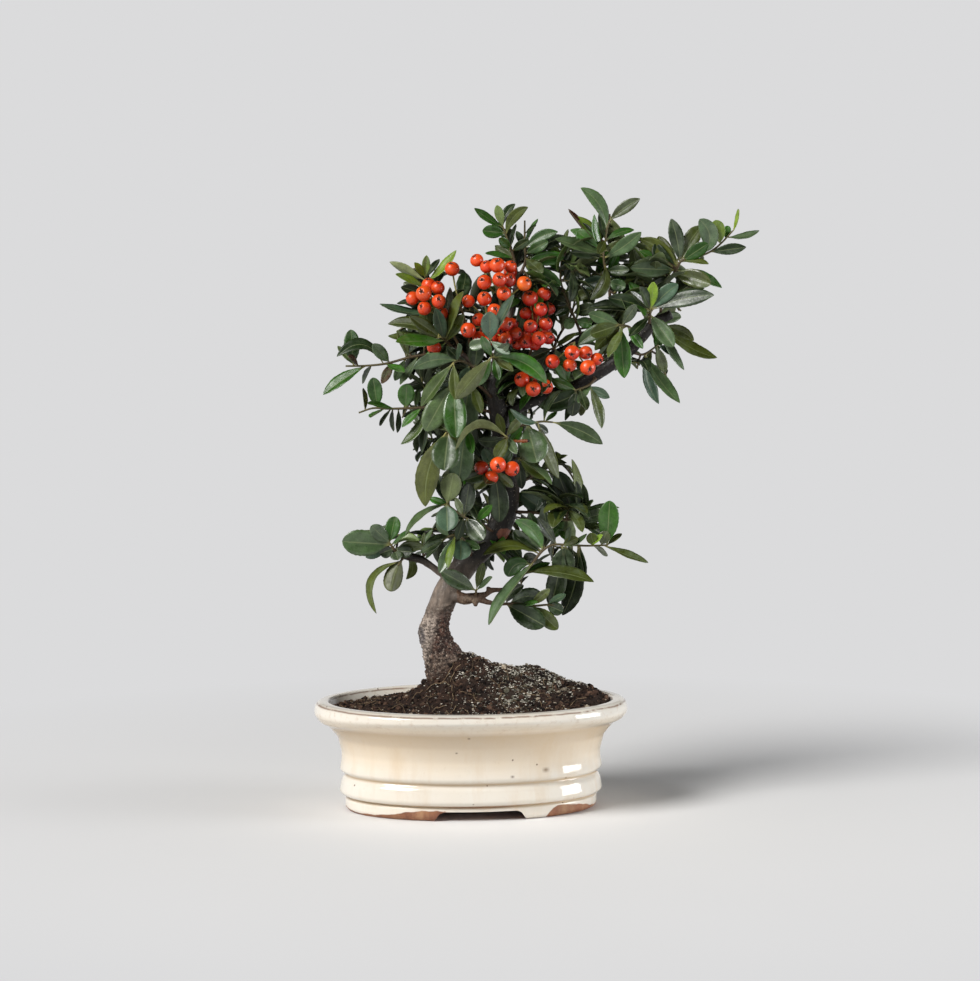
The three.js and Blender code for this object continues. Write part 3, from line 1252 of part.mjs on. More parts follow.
const pot = buildPot();
const wood = buildWood(0);
const woodRoom = buildWood(GAP + 0.05);
const soil = buildSoil(woodRoom);
addNode('pot', pot.simplify(SLIVER), 0xf3ecdc, 0.2);
addNode('soil', soil.simplify(SLIVER), 0x3a2a20, 0.95);
addNode('drain_screen_left', buildScreen(-DRAIN_OFFSET), 0x2c2f2c, 0.6);
addNode('drain_screen_right', buildScreen(DRAIN_OFFSET), 0x2c2f2c, 0.6);
addNode('trunk', wood.simplify(SLIVER), 0x7a6250, 0.85);
standing.push(boxed(pot, 'pot'), boxed(soil, 'soil'), boxed(wood, 'trunk'));

const bunches = BUNCHES.map((bunch, index) => {
  const { parts } = buildBunch(bunch, 301 + index);
  parts.forEach((shape) => standing.push(boxed(shape.subtract(woodRoom), bunch.name)));
  return { name: bunch.name, parts };
});

const hidden = HIDDEN_SPRAYS.map(([name, path, count, size]) => ({ name, twig: path, count, size }));
const sprays = [...SPRAYS, ...hidden].map((spray, order) => {
  const draw = seeded(1000 + 17 * order);
  const path = spray.twig.map((p) => place(p));
  const twig = new Twig(path);
  const turnStart = 2 * Math.PI * draw();
  const ways = [];
  const total = spray.leaves ? spray.leaves.length : spray.count;
  for (let index = 0; index < total; index += 1) {
    const draws = [draw(), draw(), draw()];
    if (spray.leaves) ways.push(laidLeaf(spray.twig, spray.leaves[index], draws[0]));
    else ways.push(turnedLeaf(path, index, total, spray.size, turnStart, draws));
  }
  twig.layJoints(ways.map((way) => twig.measure(way.root)).sort((one, two) => one - two));
  standing.push(boxed(twig.solid.subtract(woodRoom), spray.name));
  return { name: spray.name, twig, ways };
});

for (const { name, twig, ways } of sprays) {
  for (const way of ways) growLeaf(twig, way, name);
  addNode(name, largest(twig.skin().subtract(woodRoom)).simplify(SLIVER), 0x3f5a34, 0.5);
}

for (const { name, parts } of bunches) {
  addNode(name, largest(Manifold.union(parts).subtract(woodRoom)).simplify(SLIVER), 0xd8401f, 0.3);
}

export default group;
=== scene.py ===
import math

import bmesh
import bpy
import numpy as np
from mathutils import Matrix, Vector, noise


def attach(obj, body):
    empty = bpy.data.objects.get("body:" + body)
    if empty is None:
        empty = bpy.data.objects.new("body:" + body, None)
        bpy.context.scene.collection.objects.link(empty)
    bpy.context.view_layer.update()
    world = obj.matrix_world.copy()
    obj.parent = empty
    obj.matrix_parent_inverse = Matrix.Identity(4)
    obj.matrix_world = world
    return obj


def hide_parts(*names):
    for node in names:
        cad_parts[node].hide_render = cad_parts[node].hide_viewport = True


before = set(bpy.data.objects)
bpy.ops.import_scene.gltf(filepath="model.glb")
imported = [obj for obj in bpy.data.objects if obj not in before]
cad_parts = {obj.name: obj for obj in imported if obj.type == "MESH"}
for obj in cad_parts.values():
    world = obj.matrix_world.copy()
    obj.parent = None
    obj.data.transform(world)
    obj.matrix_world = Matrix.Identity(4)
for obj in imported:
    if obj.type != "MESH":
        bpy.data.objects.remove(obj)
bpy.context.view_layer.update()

MM = 0.001

# The middle of the whole, measured from the pot's middle: the lists are laid out from the pot's
WHOLE_MIDDLE = np.array([35.7, 0.4, 0.0])

# The front viewpoint that the layout is read from
VIEW_DISTANCE = 2042
VIEW_HEIGHT = 391
VIEW_ROUND = math.radians(7)
VIEW_DOWN = math.radians(5.8)
VIEW_MIDDLE = (10.8, 180.1)
FOCAL_PIXELS = 3583
PICTURE_HEIGHT = 981
SENSOR = 36

POT_LENGTH = 181
POT_WIDTH = 128
NOTCH_WIDTH = 53
NOTCH_SLANT = 4
FLOOR_BOTTOM = 6
DRAIN_RADIUS = 6.5
DRAIN_OFFSET = 34
SOIL_RISE = 23
SOIL_EDGE = 80.6
TWIG_RADIUS = 0.95
TWIG_TIP_RADIUS = 0.5
BENDS = [0, 3, -3, 6, -6, 9, -9, 12, -12, 16, -16, 20, -20]
SPRAY_SEED, BUNCH_SEED = 1000, 301
SPRAY_LOOKS_SEED, BUNCH_LOOKS_SEED = 5000, 7000
SHOOT_SEED, CRUMB_SEED = 4242, 77

# The layout. A place is [across, up, near], and a place of wood or a berry has its radius as well.
TRUNK = [
    [-13, 52, 0, 5.5], [-13, 66, 0, 9.5], [-13.5, 76, 0, 12.8], [-15.5, 84, 0, 11.4], [-19, 92, 0, 9.6],
    [-20.8, 100, 0, 9.3], [-19.6, 107, 0, 7.4], [-16.4, 116, 0, 7.4], [-13, 124, 0, 7.2],
    [-6, 134, -1, 7.2], [3, 144.5, -2, 7.1], [12, 153, -3, 7], [18, 164, -4, 7], [21, 178, -4, 6.8],
    [21, 192, -3, 6.3], [18.5, 207, -2, 5.8], [16, 222, -1, 5.4], [13.5, 235, 0, 4.8], [14, 247, 0, 3.8],
]
# Each branch as its steps and its places
BRANCHES = [
    # The thick right branch, up to its cut end
    (11, [
        [16, 221, -2, 3.4], [30, 229, -4, 3.6], [46, 235, -5, 3.6], [60, 239.5, -4, 3.6],
        [70, 245.5, -2, 3.6], [80, 252, 0, 3.6], [90, 260, 1, 3.6], [98, 268.5, 2, 3.3], [105, 276, 3, 3.2],
        [114.3, 280.6, 4, 2.9],
    ]),
    # The upper right branch, to the foot of the highest spray
    (8, [
        [14, 243, 0, 2.6], [30, 250.5, -5, 2.1], [42, 256, -7, 1.8], [54, 262, -7, 1.6], [62, 267, -6, 1.5],
        [70, 272.5, -4, 1.5], [77, 280, -2, 1.4], [79.5, 288, 0, 1.3],
    ]),
    # The middle leader
    (7, [
        [14, 245, 0, 3.8], [15, 257, -2, 2.7], [19, 270, -3, 2.2], [23, 284, -3, 1.9], [25.5, 296, -2, 1.6],
        [27, 305, -1, 1.4],
    ]),
    # The upper left branch
    (5, [[14, 240, 0, 2.8], [4, 250, -1, 2.1], [-4, 257, 0, 1.7], [-10, 262, 2, 1.5]]),
    # The lower left branch
    (7, [
        [-10, 129, 0, 2.6], [-17, 133, 1, 2.1], [-22, 136.5, 2, 2], [-28, 140.5, 3, 2.3],
        [-35, 142.5, 4, 2.6], [-41, 144, 5, 2.2], [-45, 146.5, 6, 1.5],
    ]),
    # The gnarl at the lower right with its upper arm
    (9, [
        [-16, 118, 1, 3.6], [-9, 119.5, 4, 3.6], [-3, 118.3, 6, 3.3], [3, 119.5, 8, 2.6],
        [8.5, 121, 9, 1.6], [12, 123.2, 9, 1.7], [18, 123.6, 9, 1.3], [24, 126, 9, 1.3],
    ]),
    # The gnarl's lower arm
    (3, [[2, 119, 7, 2], [9, 116.6, 9, 1.6], [15, 115.5, 10, 1.3]]),
    # The gnarl's downward spur
    (2, [[2.5, 121, 8, 1.8], [2.6, 117, 9, 1.9], [2.4, 114, 9, 1.3]]),
    # The stub above the gnarl's arm
    (1, [[10, 121.5, 9, 1.3], [9.7, 125.4, 9, 1.3]]),
    # The dead stub in front of the round leaf
    (3, [[19, 208, 0, 1.5], [22, 208.3, 14, 1.2], [27, 208.2, 24, 1.1], [33.5, 208.4, 27, 1]]),
]
# The peeled lip of bark
BARK_LIP = [
    [-19.6, 105, 7.2, 0.7], [-19.2, 109, 7.2, 0.9], [-17.3, 112.2, 7.4, 1], [-14.5, 114, 7.2, 0.9],
    [-11, 115.3, 6.4, 0.7],
]
# The pot's inside, as [half its length, height]
CAVITY_PROFILE = [[58, 11], [66.5, 15], [67.6, 40], [72.5, 49], [79, 56.5], [82.1, 62]]
# Each bunch as its name, its stalk and its berries
BUNCHES = [
    ("berries_left_crown", [[-5, 258.6, 2.5], [-13.5, 275, 13], [-23, 289, 14]], [
        [-27, 292.4, 20, 4.5], [-24.1, 297.2, 12, 4.2], [-18.9, 295.6, 15, 4], [-33.4, 289.6, 14, 4],
        [-18.4, 288, 22, 4], [-26.6, 284, 20, 4], [-17.1, 281, 15, 4], [-21.1, 261.6, 14, 4.1],
    ]),
    ("berries_crown_single", [[1, 253.5, 1], [-3, 275, 4], [-8, 292, 6]], [[-10.8, 306.4, 6, 4.3]]),
    ("berries_middle_top", [[20, 274, 0], [17, 286, 10], [14, 297, 14]], [
        [3.3, 311.3, 12, 3.8], [8.9, 307.6, 18, 3.8], [14.9, 308.4, 22, 4.5], [22.4, 307.6, 14, 3.7],
        [7.6, 298.8, 22, 4.2], [16.2, 300.4, 28, 4.1], [21.8, 300, 20, 4], [18.6, 292.4, 24, 4],
        [30.2, 298, 20, 4.3],
    ]),
    ("berries_middle_low", [[17, 264, 0], [12, 272, 10], [9, 279, 16]], [
        [-1.5, 288, 20, 3.7], [7.6, 289.4, 22, 4.2], [13.4, 282.4, 26, 4.2], [19.8, 275, 22, 4.2],
        [-1.6, 271.5, 26, 4.4], [4.6, 267, 20, 3.9], [4.2, 277.6, 18, 3.8], [11.4, 266.6, 22, 3.8],
        [19.4, 266, 24, 3.9], [25.6, 269.6, 18, 3.8],
    ]),
    ("berries_middle_right", [[30, 251, -5], [35, 262, 4], [36, 273, 8]], [
        [33.6, 289.6, 14, 4.6], [41.6, 292, 8, 4], [31.2, 281, 10, 3.6], [39.6, 283.4, 14, 4.1],
        [42.6, 275.2, 12, 4], [33.9, 273.6, 18, 4], [31.4, 264.8, 16, 4], [38.6, 266.6, 20, 4.2],
        [44, 267, 12, 3.7],
    ]),
    ("berries_right", [[52, 260, -6], [56, 263, 4], [59, 264.5, 10]], [
        [57.6, 258.6, 22, 4.3], [56.2, 251.6, 14, 3.9], [65.4, 258.6, 16, 4], [66.6, 250.2, 22, 4.4],
        [71.8, 255, 14, 3.7], [46.4, 253.6, 18, 4.1],
    ]),
    ("berries_right_low", [[30, 232, -2], [34, 236, 6], [36, 241, 9]], [
        [29, 243.4, 16, 4.4], [35.4, 238, 22, 4.4], [42.6, 239.2, 14, 4.2], [36.5, 246, 10, 4],
    ]),
    ("berries_trunk_front", [[19, 204, 2], [16, 203, 14], [15, 201, 22]], [
        [15.4, 194.8, 30, 4.6], [23.3, 192.5, 26, 4.4], [6, 193, 20, 4.2], [11.5, 187.5, 22, 4],
    ]),
]
# Each spray as its name, its twig and its leaves. A leaf is [across and up of its base, across and up of
# its tip, seen width, how much nearer its tip is], and some have a bow. A width below 0 shows the underside.
SPRAYS = [
    ("spray_left_upper", [
        [-10, 262, 2], [-24, 258, 7], [-35, 256, 9], [-48.5, 252.4, 10], [-60, 251.2, 10], [-71.5, 251, 10],
    ], [
        [-60, 250, -84.3, 234.7, 4.5, 4, 4], [-67, 252, -68.5, 271.8, 8.4, -3],
        [-50, 253, -76.5, 256.4, 6, 4, -9], [-46.6, 254, -56, 263.7, 6.5, 9], [-66, 252, -76, 262.5, 4, -8],
        [-64, 251.3, -70, 257, 3, 12], [-44, 251.8, -51, 241, 5, 9], [-37, 254, -43.5, 242.7, 5, -8],
        [-35.7, 256, -42.3, 271.4, 3.5, 4, 4], [-48.5, 251.8, -38, 247.5, 4, 14],
        [-30, 257, -40.5, 240.5, 4, 10], [-57, 251, -62, 241, 5, -12],
    ]),
    ("spray_left_second", [
        [15, 224, 0], [0, 227, 5], [-18, 228, 8], [-35, 227, 9], [-47, 226.7, 9], [-56, 227, 9],
        [-64, 224.4, 9],
    ], [
        [-53.3, 227.5, -55.8, 244.5, 8, 2], [-60.3, 226.4, -61.5, 238.6, 2.5, -6],
        [-43.5, 227.5, -59, 230, 3, 12], [-37.5, 227.6, -36.6, 241, 9, 7], [-45, 226, -44.2, 213.7, 3, -6],
        [-46, 226, -52.1, 217, 3, 6], [-41.2, 226, -42, 213, 3.5, 3], [-28, 226, -39.4, 216.2, 4, 5],
        [-26, 226, -40, 206.5, 5, 4, 2], [-24, 226, -28, 201.5, 5, 2], [-50, 227, -58, 222, 3, 14],
        [-32, 227, -30, 238, 4, -10],
    ]),
    ("spray_left_crown", [[-12.5, 264.5, 2], [-20, 279, 1], [-25, 291, 0], [-26, 302, 0]], [
        [-26, 300, -46.4, 310.4, -5, -4, -2], [-26, 296, -43, 303.5, 4, 8],
        [-26.3, 301, -25.4, 314.2, 4.5, 3], [-25, 301, -18, 312, 3.5, -8], [-26.2, 301.6, -32.3, 310, 4, 8],
        [-24.7, 299, -8.5, 317, 4.5, 2, -1.5], [-24, 293, -15, 305, 4, -5], [-25, 291, -38.5, 298.5, 6, -8],
        [-24, 288, -42.3, 286.7, 3, -4], [-21, 281, -52, 286.5, 4, -3, 2],
    ]),
    ("spray_left_heart", [[-10.5, 261.9, 3.6], [-14, 264.8, 9], [-17, 267.6, 13]], [
        [-15, 266, -35, 279.5, 7, 9], [-15, 266, -20, 284, 7, 12], [-14.6, 265.8, -4.5, 293.5, 5, 10],
        [-14, 265, -4, 280.7, 6, 14], [-14, 265, -8, 285.3, 5, -2], [-15, 265.6, -42.8, 264.8, 7, 10],
        [-16.8, 267.4, -47.3, 275, 5, -8], [-14, 265, -28, 252, 5, 3], [-13, 264, -18, 250, 5, 12],
    ]),
    ("spray_front_high_left", [[9, 243.5, 3], [2, 250, 16], [-6, 254, 27], [-10, 253, 32]], [
        [-7, 254, -33, 249.5, 6, 3, -3], [-10, 253, -9, 231.8, 6, 4], [-10, 252.8, -28.5, 228, 4.5, -6],
        [-6, 254, -14, 262, 5, 10], [-8, 254, -7, 264, 3, 12], [2, 250, 4, 265, 8, 8],
        [-1, 251, -6, 240, 6, 8],
    ]),
    ("spray_front_high_right", [[16, 255, 0], [14, 256, 16], [11.5, 256, 32]], [
        [11.5, 256, -9, 232, -5.5, 14], [12, 255.8, 43, 241, 9, 4, 5], [11.5, 255.8, 2, 240, 8, -4],
        [12, 256, 6, 268, 5, 6], [12, 256, 22, 264, 5, 10], [13, 256, 16, 243, 5, 6],
        [13, 256, 24, 248, 5, 14],
    ]),
    ("spray_front_middle", [[12, 233, 3], [4, 240, 16], [-4, 242, 24], [-11, 241, 28]], [
        [-11, 241, -26, 214, 11, 5], [-10, 240, -8.5, 210, 9, 8], [-1, 240, -6, 211, 9, -4],
        [-8, 241, -24, 236, 5, 8], [0, 240, 6, 224, 6, 6], [-9, 241, -20, 249, 5, -10],
    ]),
    ("spray_front_pale", [[13, 216, 3], [3, 216, 18], [-8, 214.5, 30], [-14, 213, 34]], [
        [-13, 213, -15.5, 191.5, 15, 9], [-3, 214, -7, 185, 9.5, 2], [-14, 213, -26, 171, -11, 4, -5],
        [-10, 213, -20, 203, 6, -8], [-12, 213.4, -24, 222, 5, -6], [-2, 214, 1, 201, 5, 12],
    ]),
    ("spray_front_arch", [[17, 211, 3], [20, 211, 14], [21, 210, 24]], [
        [20.8, 210, -9, 203, -4, 18, -10], [20.6, 210, 14, 198.5, 7, -2], [20, 210.4, 26, 201, 5, 2],
        [20, 211, 29, 222, 5, 5], [19, 211, 15, 224, 5, 6],
    ]),
    ("spray_front_low", [[12, 157, 3], [4, 162, 16], [-4, 165, 25], [-14, 172.6, 30]], [
        [-14, 172.5, -13.5, 157, 12, 8], [-14, 172.6, -37.5, 155, 3.5, 2, -3],
        [-13.5, 172.6, -10, 190, -8, -3], [-4, 165, -1, 184, 6, -2], [-5, 165.4, -9, 176, 4, 6],
        [-3, 165, 7, 152, 10, 8], [-12, 171, -24, 176, 4, -8], [-4, 165, -8, 152, 5, -6],
        [3, 163, 12, 172, 5, 9],
    ]),
    ("spray_front_dark", [[18, 194, 3], [13, 191, 12]], [
        [13, 191, 16, 162, 11, 1, 1], [13, 191, 2, 181, 6, 1], [13.4, 191, 7, 204, 6, -4],
        [14, 191, 24, 182, 5, 4], [14, 191, 23, 203, 6, -3],
    ]),
    ("spray_low_middle",
        [[0, 143, 4], [-3, 150, 13], [-6.5, 154, 19], [-11, 154.6, 21.5], [-16, 152, 21]], [
        [-5, 153.5, -6, 140.5, 11, 9], [-9, 154.5, -18, 133, 7, 5], [-9, 154.6, -13, 136, 4, 12],
        [-7, 154.4, -26, 150.5, 3, 8, -1.5], [-15, 152.3, -29, 144.5, 5, 0],
        [-15, 152.4, -26, 141.5, 3, -8], [-12, 153.6, -20, 161, 4, 4], [-4, 152, 5, 147, 5, 9],
        [-6, 154, -2, 164, 4, 1],
    ]),
    ("spray_left_low", [[-42, 144.5, 6], [-45, 148, 8], [-46.5, 150.5, 8]], [
        [-46, 149, -73.5, 151, 15, 5], [-46, 150, -57, 160, 8, 3], [-46.5, 150.5, -43.2, 165.3, 8, -2],
        [-44.5, 147.5, -29.5, 151.5, 4, 4, 4], [-44, 147, -30, 147, 5, -3], [-46, 149, -60, 142, 3, 10],
        [-46, 150.4, -50, 160, 6, -9], [-46, 149, -35, 157, 3.5, 12], [-46, 149.6, -62, 157, 5, -12],
    ]),
    ("spray_left_low_under", [[-37, 143.2, 5], [-39.5, 140.6, 10], [-41.6, 137.4, 13]], [
        [-41.4, 138, -54, 110, 3.5, 0, -8], [-41.6, 137.4, -45.5, 122.5, -11, 6],
        [-40, 140, -37, 129.5, 5, -8],
    ]),
    ("spray_left_low_twiglet", [[-27, 143, 3], [-28, 147, 4]], [
        [-28, 146.6, -26.5, 156, 3, 2], [-28, 146, -22, 158, 4, -6], [-28, 146, -34, 138, 4, -9],
    ]),
    ("spray_gnarl", [[2.6, 120.4, 11.5], [3, 123.6, 14]], [
        [2.6, 123, -17, 134, 9, 4], [3.4, 123.5, 7, 139, 5, 2], [3, 123.4, 12, 131, 3, 9],
    ]),
    ("spray_right_middle", [
        [25, 126.4, 9], [29, 131, 10], [36, 140, 12], [41, 146, 12], [46, 149, 12], [57, 149, 12],
        [66, 148.6, 12], [78, 149, 12],
    ], [
        [77.5, 149, 79, 174.3, 9, 2], [77.5, 149, 86, 155.5, 3, 9], [76, 149, 101, 139, 4, 1, 3],
        [51, 149, 66, 155.5, 3, 3, -2], [68, 148.8, 75, 155, 3, 3], [54, 149, 56.5, 159.5, 3.5, 5],
        [49, 149, 38, 165, 6, 4], [42, 146.8, 33, 167.5, 7, 2], [40.5, 145.6, 25, 163, 8, 5, -4],
        [41, 146, 40.5, 171.5, 6, -4, -2], [40, 145, 26, 153.5, 3, 12], [39, 144, 7, 143.5, 5.5, 8, -5],
        [36, 140, 10, 103.5, 5.5, 14, -3.5], [31, 133.4, 70, 128, 7, 8, 5], [30, 132, 45, 139, 4, -5],
        [34, 138, 21, 131, 9, 3, -4], [52, 149, 45, 113, 11, -14, 3], [61, 149, 52, 109, 12, -17, 6],
        [70, 149, 78, 143, 3, -10], [59, 149, 50, 157, 4, -11],
    ]),
    ("spray_right_low",
        [[16, 115.3, 10], [26, 115.6, 11], [36, 114.4, 11], [45, 115, 11], [53, 113.6, 11]], [
        [20, 115.5, 42, 103, 12, 7], [22, 115.6, 41, 119, 9, -8, 4], [28, 115.6, 38, 116.5, 3, 6],
        [35, 114.5, 49.5, 101, 8, 2], [34, 114.6, 45, 124, 5, 6], [43, 114.8, 54, 121, 4, -4],
    ]),
    ("spray_right_dark", [[25.5, 168, -2], [40, 167, -4], [52, 163.5, -5], [61, 163.4, -5]], [
        [60, 163.4, 49, 191, 12, -2], [60.6, 163.4, 60, 185.5, 4, 8], [61, 163.4, 57.5, 198, 5, -8, -5],
        [61, 163.4, 63.6, 184, 4, 2, -3], [61, 163.4, 69.5, 174.8, 3, 12],
        [61, 163.4, 84.5, 170.3, 4, -10, 3], [61, 163.3, 77, 167.5, 8, 4], [61, 163.2, 76.5, 161, 4, 9, -3],
        [58, 163.4, 77.5, 151.5, 6, -8, 2], [56, 163.4, 46.5, 184, 8, -9], [50, 164, 43, 174, 4, 9],
        [46, 165.4, 28.5, 178, 9, -5], [43, 166.2, 52, 158.5, 5, 8], [54, 163.4, 46, 153, 5, -8],
        [36, 167.2, 46, 181, 5, -12],
    ]),
    ("spray_right_olive", [[23, 198, -2], [27, 198.5, 3]], [
        [27, 198.4, 43, 187, 7, 4], [27, 198, 46, 183.5, 3, -6, 2], [27, 198.4, 38, 203, 5, -6],
    ]),
    ("spray_right_round", [[19, 214, 1], [27, 216.6, 8], [33, 218, 13], [40, 219.4, 14], [46.5, 219, 14]], [
        [32, 217.8, 37.5, 196, 16, 7], [46.4, 219, 75, 206.5, 8.5, 3, 2], [41.4, 219.4, 51, 237, 4, 8, 2],
        [39, 219.3, 22.5, 226.5, 4.5, 6, 3], [42, 219.3, 49, 225, 2.5, -4], [38, 219, 50, 187, 8, -12, 3],
        [30, 217.5, 22, 207, 5, -3], [36, 218.8, 44, 213, 4, -8],
    ]),
    ("spray_right_berry", [[71, 244, 2], [67, 240, 8], [59, 237, 12]], [
        [65, 239.4, 39, 228, 10, 6, 2], [67.4, 240.4, 74.5, 215.5, 5.5, 2, 4],
        [60, 237.4, 57.5, 222.5, 7, -6], [62.4, 238.2, 53.5, 220, 4, -9], [69, 242, 61, 230, 4, 9],
        [60, 237.4, 46, 243, 6, -9], [66, 240, 79, 233, 5, -9], [62, 238, 66, 226, 5, 4],
    ]),
    ("spray_right_yellow", [[94.5, 268, 4], [90, 273.4, 10], [84, 274.6, 14]], [
        [85, 274.4, 87.3, 244.2, 9.5, 5], [84.4, 274.6, 68, 269, 8, 5], [89, 273.6, 70.5, 260, 7, 1, -2],
        [88, 273.6, 61, 263, 8, -6, -3], [86, 274.4, 94, 286, 6, 9], [89, 273.8, 98, 261, 5, 6],
        [87, 274, 78, 256, 5, -7], [85, 274.4, 67, 281, 7, 2],
    ]),
    ("spray_right_whorl", [[101.5, 275.5, 6.5], [102, 279.5, 9], [102.6, 283.4, 9]], [
        [102.4, 283, 91, 293.5, 4, 8], [102.5, 283.4, 90, 299, 6, -6], [102.7, 283.4, 104, 299, 6, 3],
        [102.8, 283.4, 118, 297.5, 8, 3, 1], [102.6, 283, 138.5, 291.5, 11, 9],
        [102.3, 282.5, 78, 290, 8, 3, -1], [102, 281, 66, 284, 6, -5, -2], [102.1, 280.4, 115.5, 262, 9, 9],
        [102, 280, 90, 268, 5, 10], [102.4, 282.8, 96, 296, 5, 12],
    ]),
    ("spray_right_whorl_back", [[101, 272, 0.5], [105.5, 274, -5], [109, 273.6, -8]], [
        [108.8, 273.4, 140.3, 255.8, 6.5, -2, 3], [109, 273.6, 127, 265.5, 6, 4, 2],
        [107, 274, 119.8, 279, 6, -6, 2], [106, 273.6, 121.5, 248.8, 4.5, -4, 2],
    ]),
    ("spray_right_under", [[93, 258.5, -2], [98, 257.6, -3], [106.8, 263.2, -3]], [
        [105.8, 262.6, 110.5, 247.5, 6, -2], [100, 258.8, 107, 229.5, 6.5, 2, -3],
        [98.5, 258, 119, 230, 7, 5, 2], [103, 260.6, 98, 250, 5, 5], [106.4, 263, 116, 258, 4, -8],
    ]),
    ("spray_right_tip", [
        [108, 281.5, 1], [109, 290, -1], [113, 300, 0], [117, 306, 2], [120, 311, 3], [128, 313, 3],
        [136, 316, 3], [142, 320.5, 3], [149, 328, 3],
    ], [
        [119, 309.4, 114, 335, 8, -2, -1], [120, 311, 131.5, 330.8, 6, -5, -2],
        [132, 314.6, 130, 334.6, 9.5, 3, -5], [120.4, 311, 135, 320.8, 7.5, 6],
        [142, 320.5, 139.5, 334.3, 8, 2], [149, 328, 152.2, 340.6, 2, 2, -1],
        [146, 324.6, 164.2, 328.3, 3.5, 1, 2], [136, 316, 156.8, 318.8, 5, 3, 2],
        [120, 310.6, 135.4, 309.2, 3, 8, 1], [117, 305.6, 143, 295.6, 5.5, -6, 4],
        [115.5, 303, 136.6, 297.6, 9.5, 8, 1], [117, 305.4, 91, 307, 9, 9],
        [118, 307.4, 105.5, 321, 6, -4, 3], [114, 301.4, 96, 316.5, 6, -3, -2],
        [112, 297.6, 121, 291, 6, -8], [118, 307.6, 110, 317, 4, 6], [114, 302, 103, 296, 6, 4],
    ]),
    ("spray_top", [
        [79.4, 286.5, 0], [78.5, 298, 2], [76.6, 306, 4], [75.5, 314, 5], [76.8, 324, 4], [78.4, 334, 3],
    ], [
        [77.4, 328, 62.5, 352.6, 8.5, 1, -5], [78.3, 333.4, 96.3, 346.4, 5, 3, 2.5],
        [76.6, 323, 73, 338, 4, -5], [75.6, 316, 70.3, 337.4, 4, 5, 2], [75.5, 314.6, 48, 323.5, 6, 9],
        [75.5, 314.4, 60.5, 328, 9, 1], [75.6, 313, 57, 315.5, 6, 3, -1], [76, 309.6, 68, 289, 7, 14, 4],
        [75.6, 312.6, 97, 327.4, 8, 10, -1], [76.6, 322.5, 93, 328.6, 4, -2, 1.5],
        [76.6, 322, 84.5, 327.5, 3, -9], [75.6, 316.4, 86, 321.4, 5, 3], [76.6, 323, 72.5, 315, 5, 12],
        [77, 305, 90, 306, 6, 8], [78.4, 299, 88, 296, 7, 3], [78.6, 297, 71, 291, 5, -8],
        [75.8, 318.4, 66, 331, 5, -9], [75.6, 317.6, 60, 336.4, 4, -4, -2], [77.6, 302, 84, 315, 5, -9],
        [78, 301.4, 64, 297, 7, -4],
    ]),
    ("spray_top_middle",
        [[26.2, 303, -1], [24.6, 312, 0], [22.4, 318.6, 1], [20, 325.4, 1], [18.1, 330.6, 1]], [
        [18.3, 330, 1.9, 341, 4.5, 1, -2], [18.2, 330.5, 14.7, 342.7, 5, 4],
        [18.2, 330.4, 25.2, 343.4, 4.5, -4, 2], [20, 325.6, 32.5, 341.6, 6, 4, 3],
        [19.4, 326.8, 6.5, 328.2, 7, 5], [22.6, 318, 16, 324, 5, 8], [24.4, 312.6, 8.1, 315.4, 4, 4],
        [23, 316.6, 33, 323, 5, 6], [22.2, 319, 25.6, 332, 5, -6], [21, 323, 12, 334, 5, -7],
        [25, 311, 14, 319, 6, -5],
    ]),
    ("spray_top_middle_right", [[28, 303, -1.5], [31, 311, -2], [30.6, 320, -2], [30.6, 334, -2]], [
        [30.8, 315, 44, 322.2, 6, 5], [30.7, 318, 49.5, 327.5, 6, 3, 2], [31, 311, 53, 313.5, 8, 1],
        [30, 309, 51.5, 297, 8, 3], [30.6, 326.8, 37, 331.6, 3, 3], [30.7, 317, 26, 328, 4, -9],
        [30.6, 321, 38, 335, 4, -7], [31, 312.6, 41, 304, 6, 9], [31, 311, 40, 317, 6, -8],
    ]),
    ("spray_upper_right_inner",
        [[63, 268.5, -7], [60, 276, -8], [55, 288, -8], [51, 300, -7], [51.5, 312, -6]], [
        [51.5, 311.6, 67.6, 302, 4, 14, 1], [59, 279, 53.7, 272.5, 6, 12], [52, 299, 66, 305, 6, 3],
        [55, 288, 69, 294, 6, 4], [51, 301, 57, 315, 6, -6], [56, 286.6, 46, 290, 7, -4],
        [51.4, 305, 43, 314, 5, -6], [51.4, 310.6, 55.3, 329, 3, -4], [58.6, 281.4, 71, 285, 7, 8],
        [51.5, 311.4, 46, 319, 5, 3], [53.4, 293, 63, 301, 5, -10], [60, 277, 69, 275, 6, 2],
        [57, 284, 48, 280, 7, 6],
    ]),
    ("spray_middle_round", [[15.6, 258.6, -2], [13.6, 257.6, 13], [11, 259.6, 27], [10.7, 265.4, 31]], [
        [10.7, 266.2, 10.8, 282.1, 9.5, 5], [10.8, 266, 24.5, 291.7, 5, 8], [11, 265.6, 22, 258, 5, 6],
        [11, 266, -1, 262, 6, 4],
    ]),
    ("spray_middle_dark", [[38, 255.5, -6], [43, 259.5, 2], [48, 261.6, 6]], [
        [44, 260, 38, 246, 7, 6], [47.6, 261.6, 54.6, 243, 8, -2], [47, 261.4, 41, 274, 6, -9],
        [48, 261.6, 60, 270, 5, -6], [46, 260.8, 34, 256, 6, 4], [48, 261.6, 50, 248, 5, -10],
    ]),
]
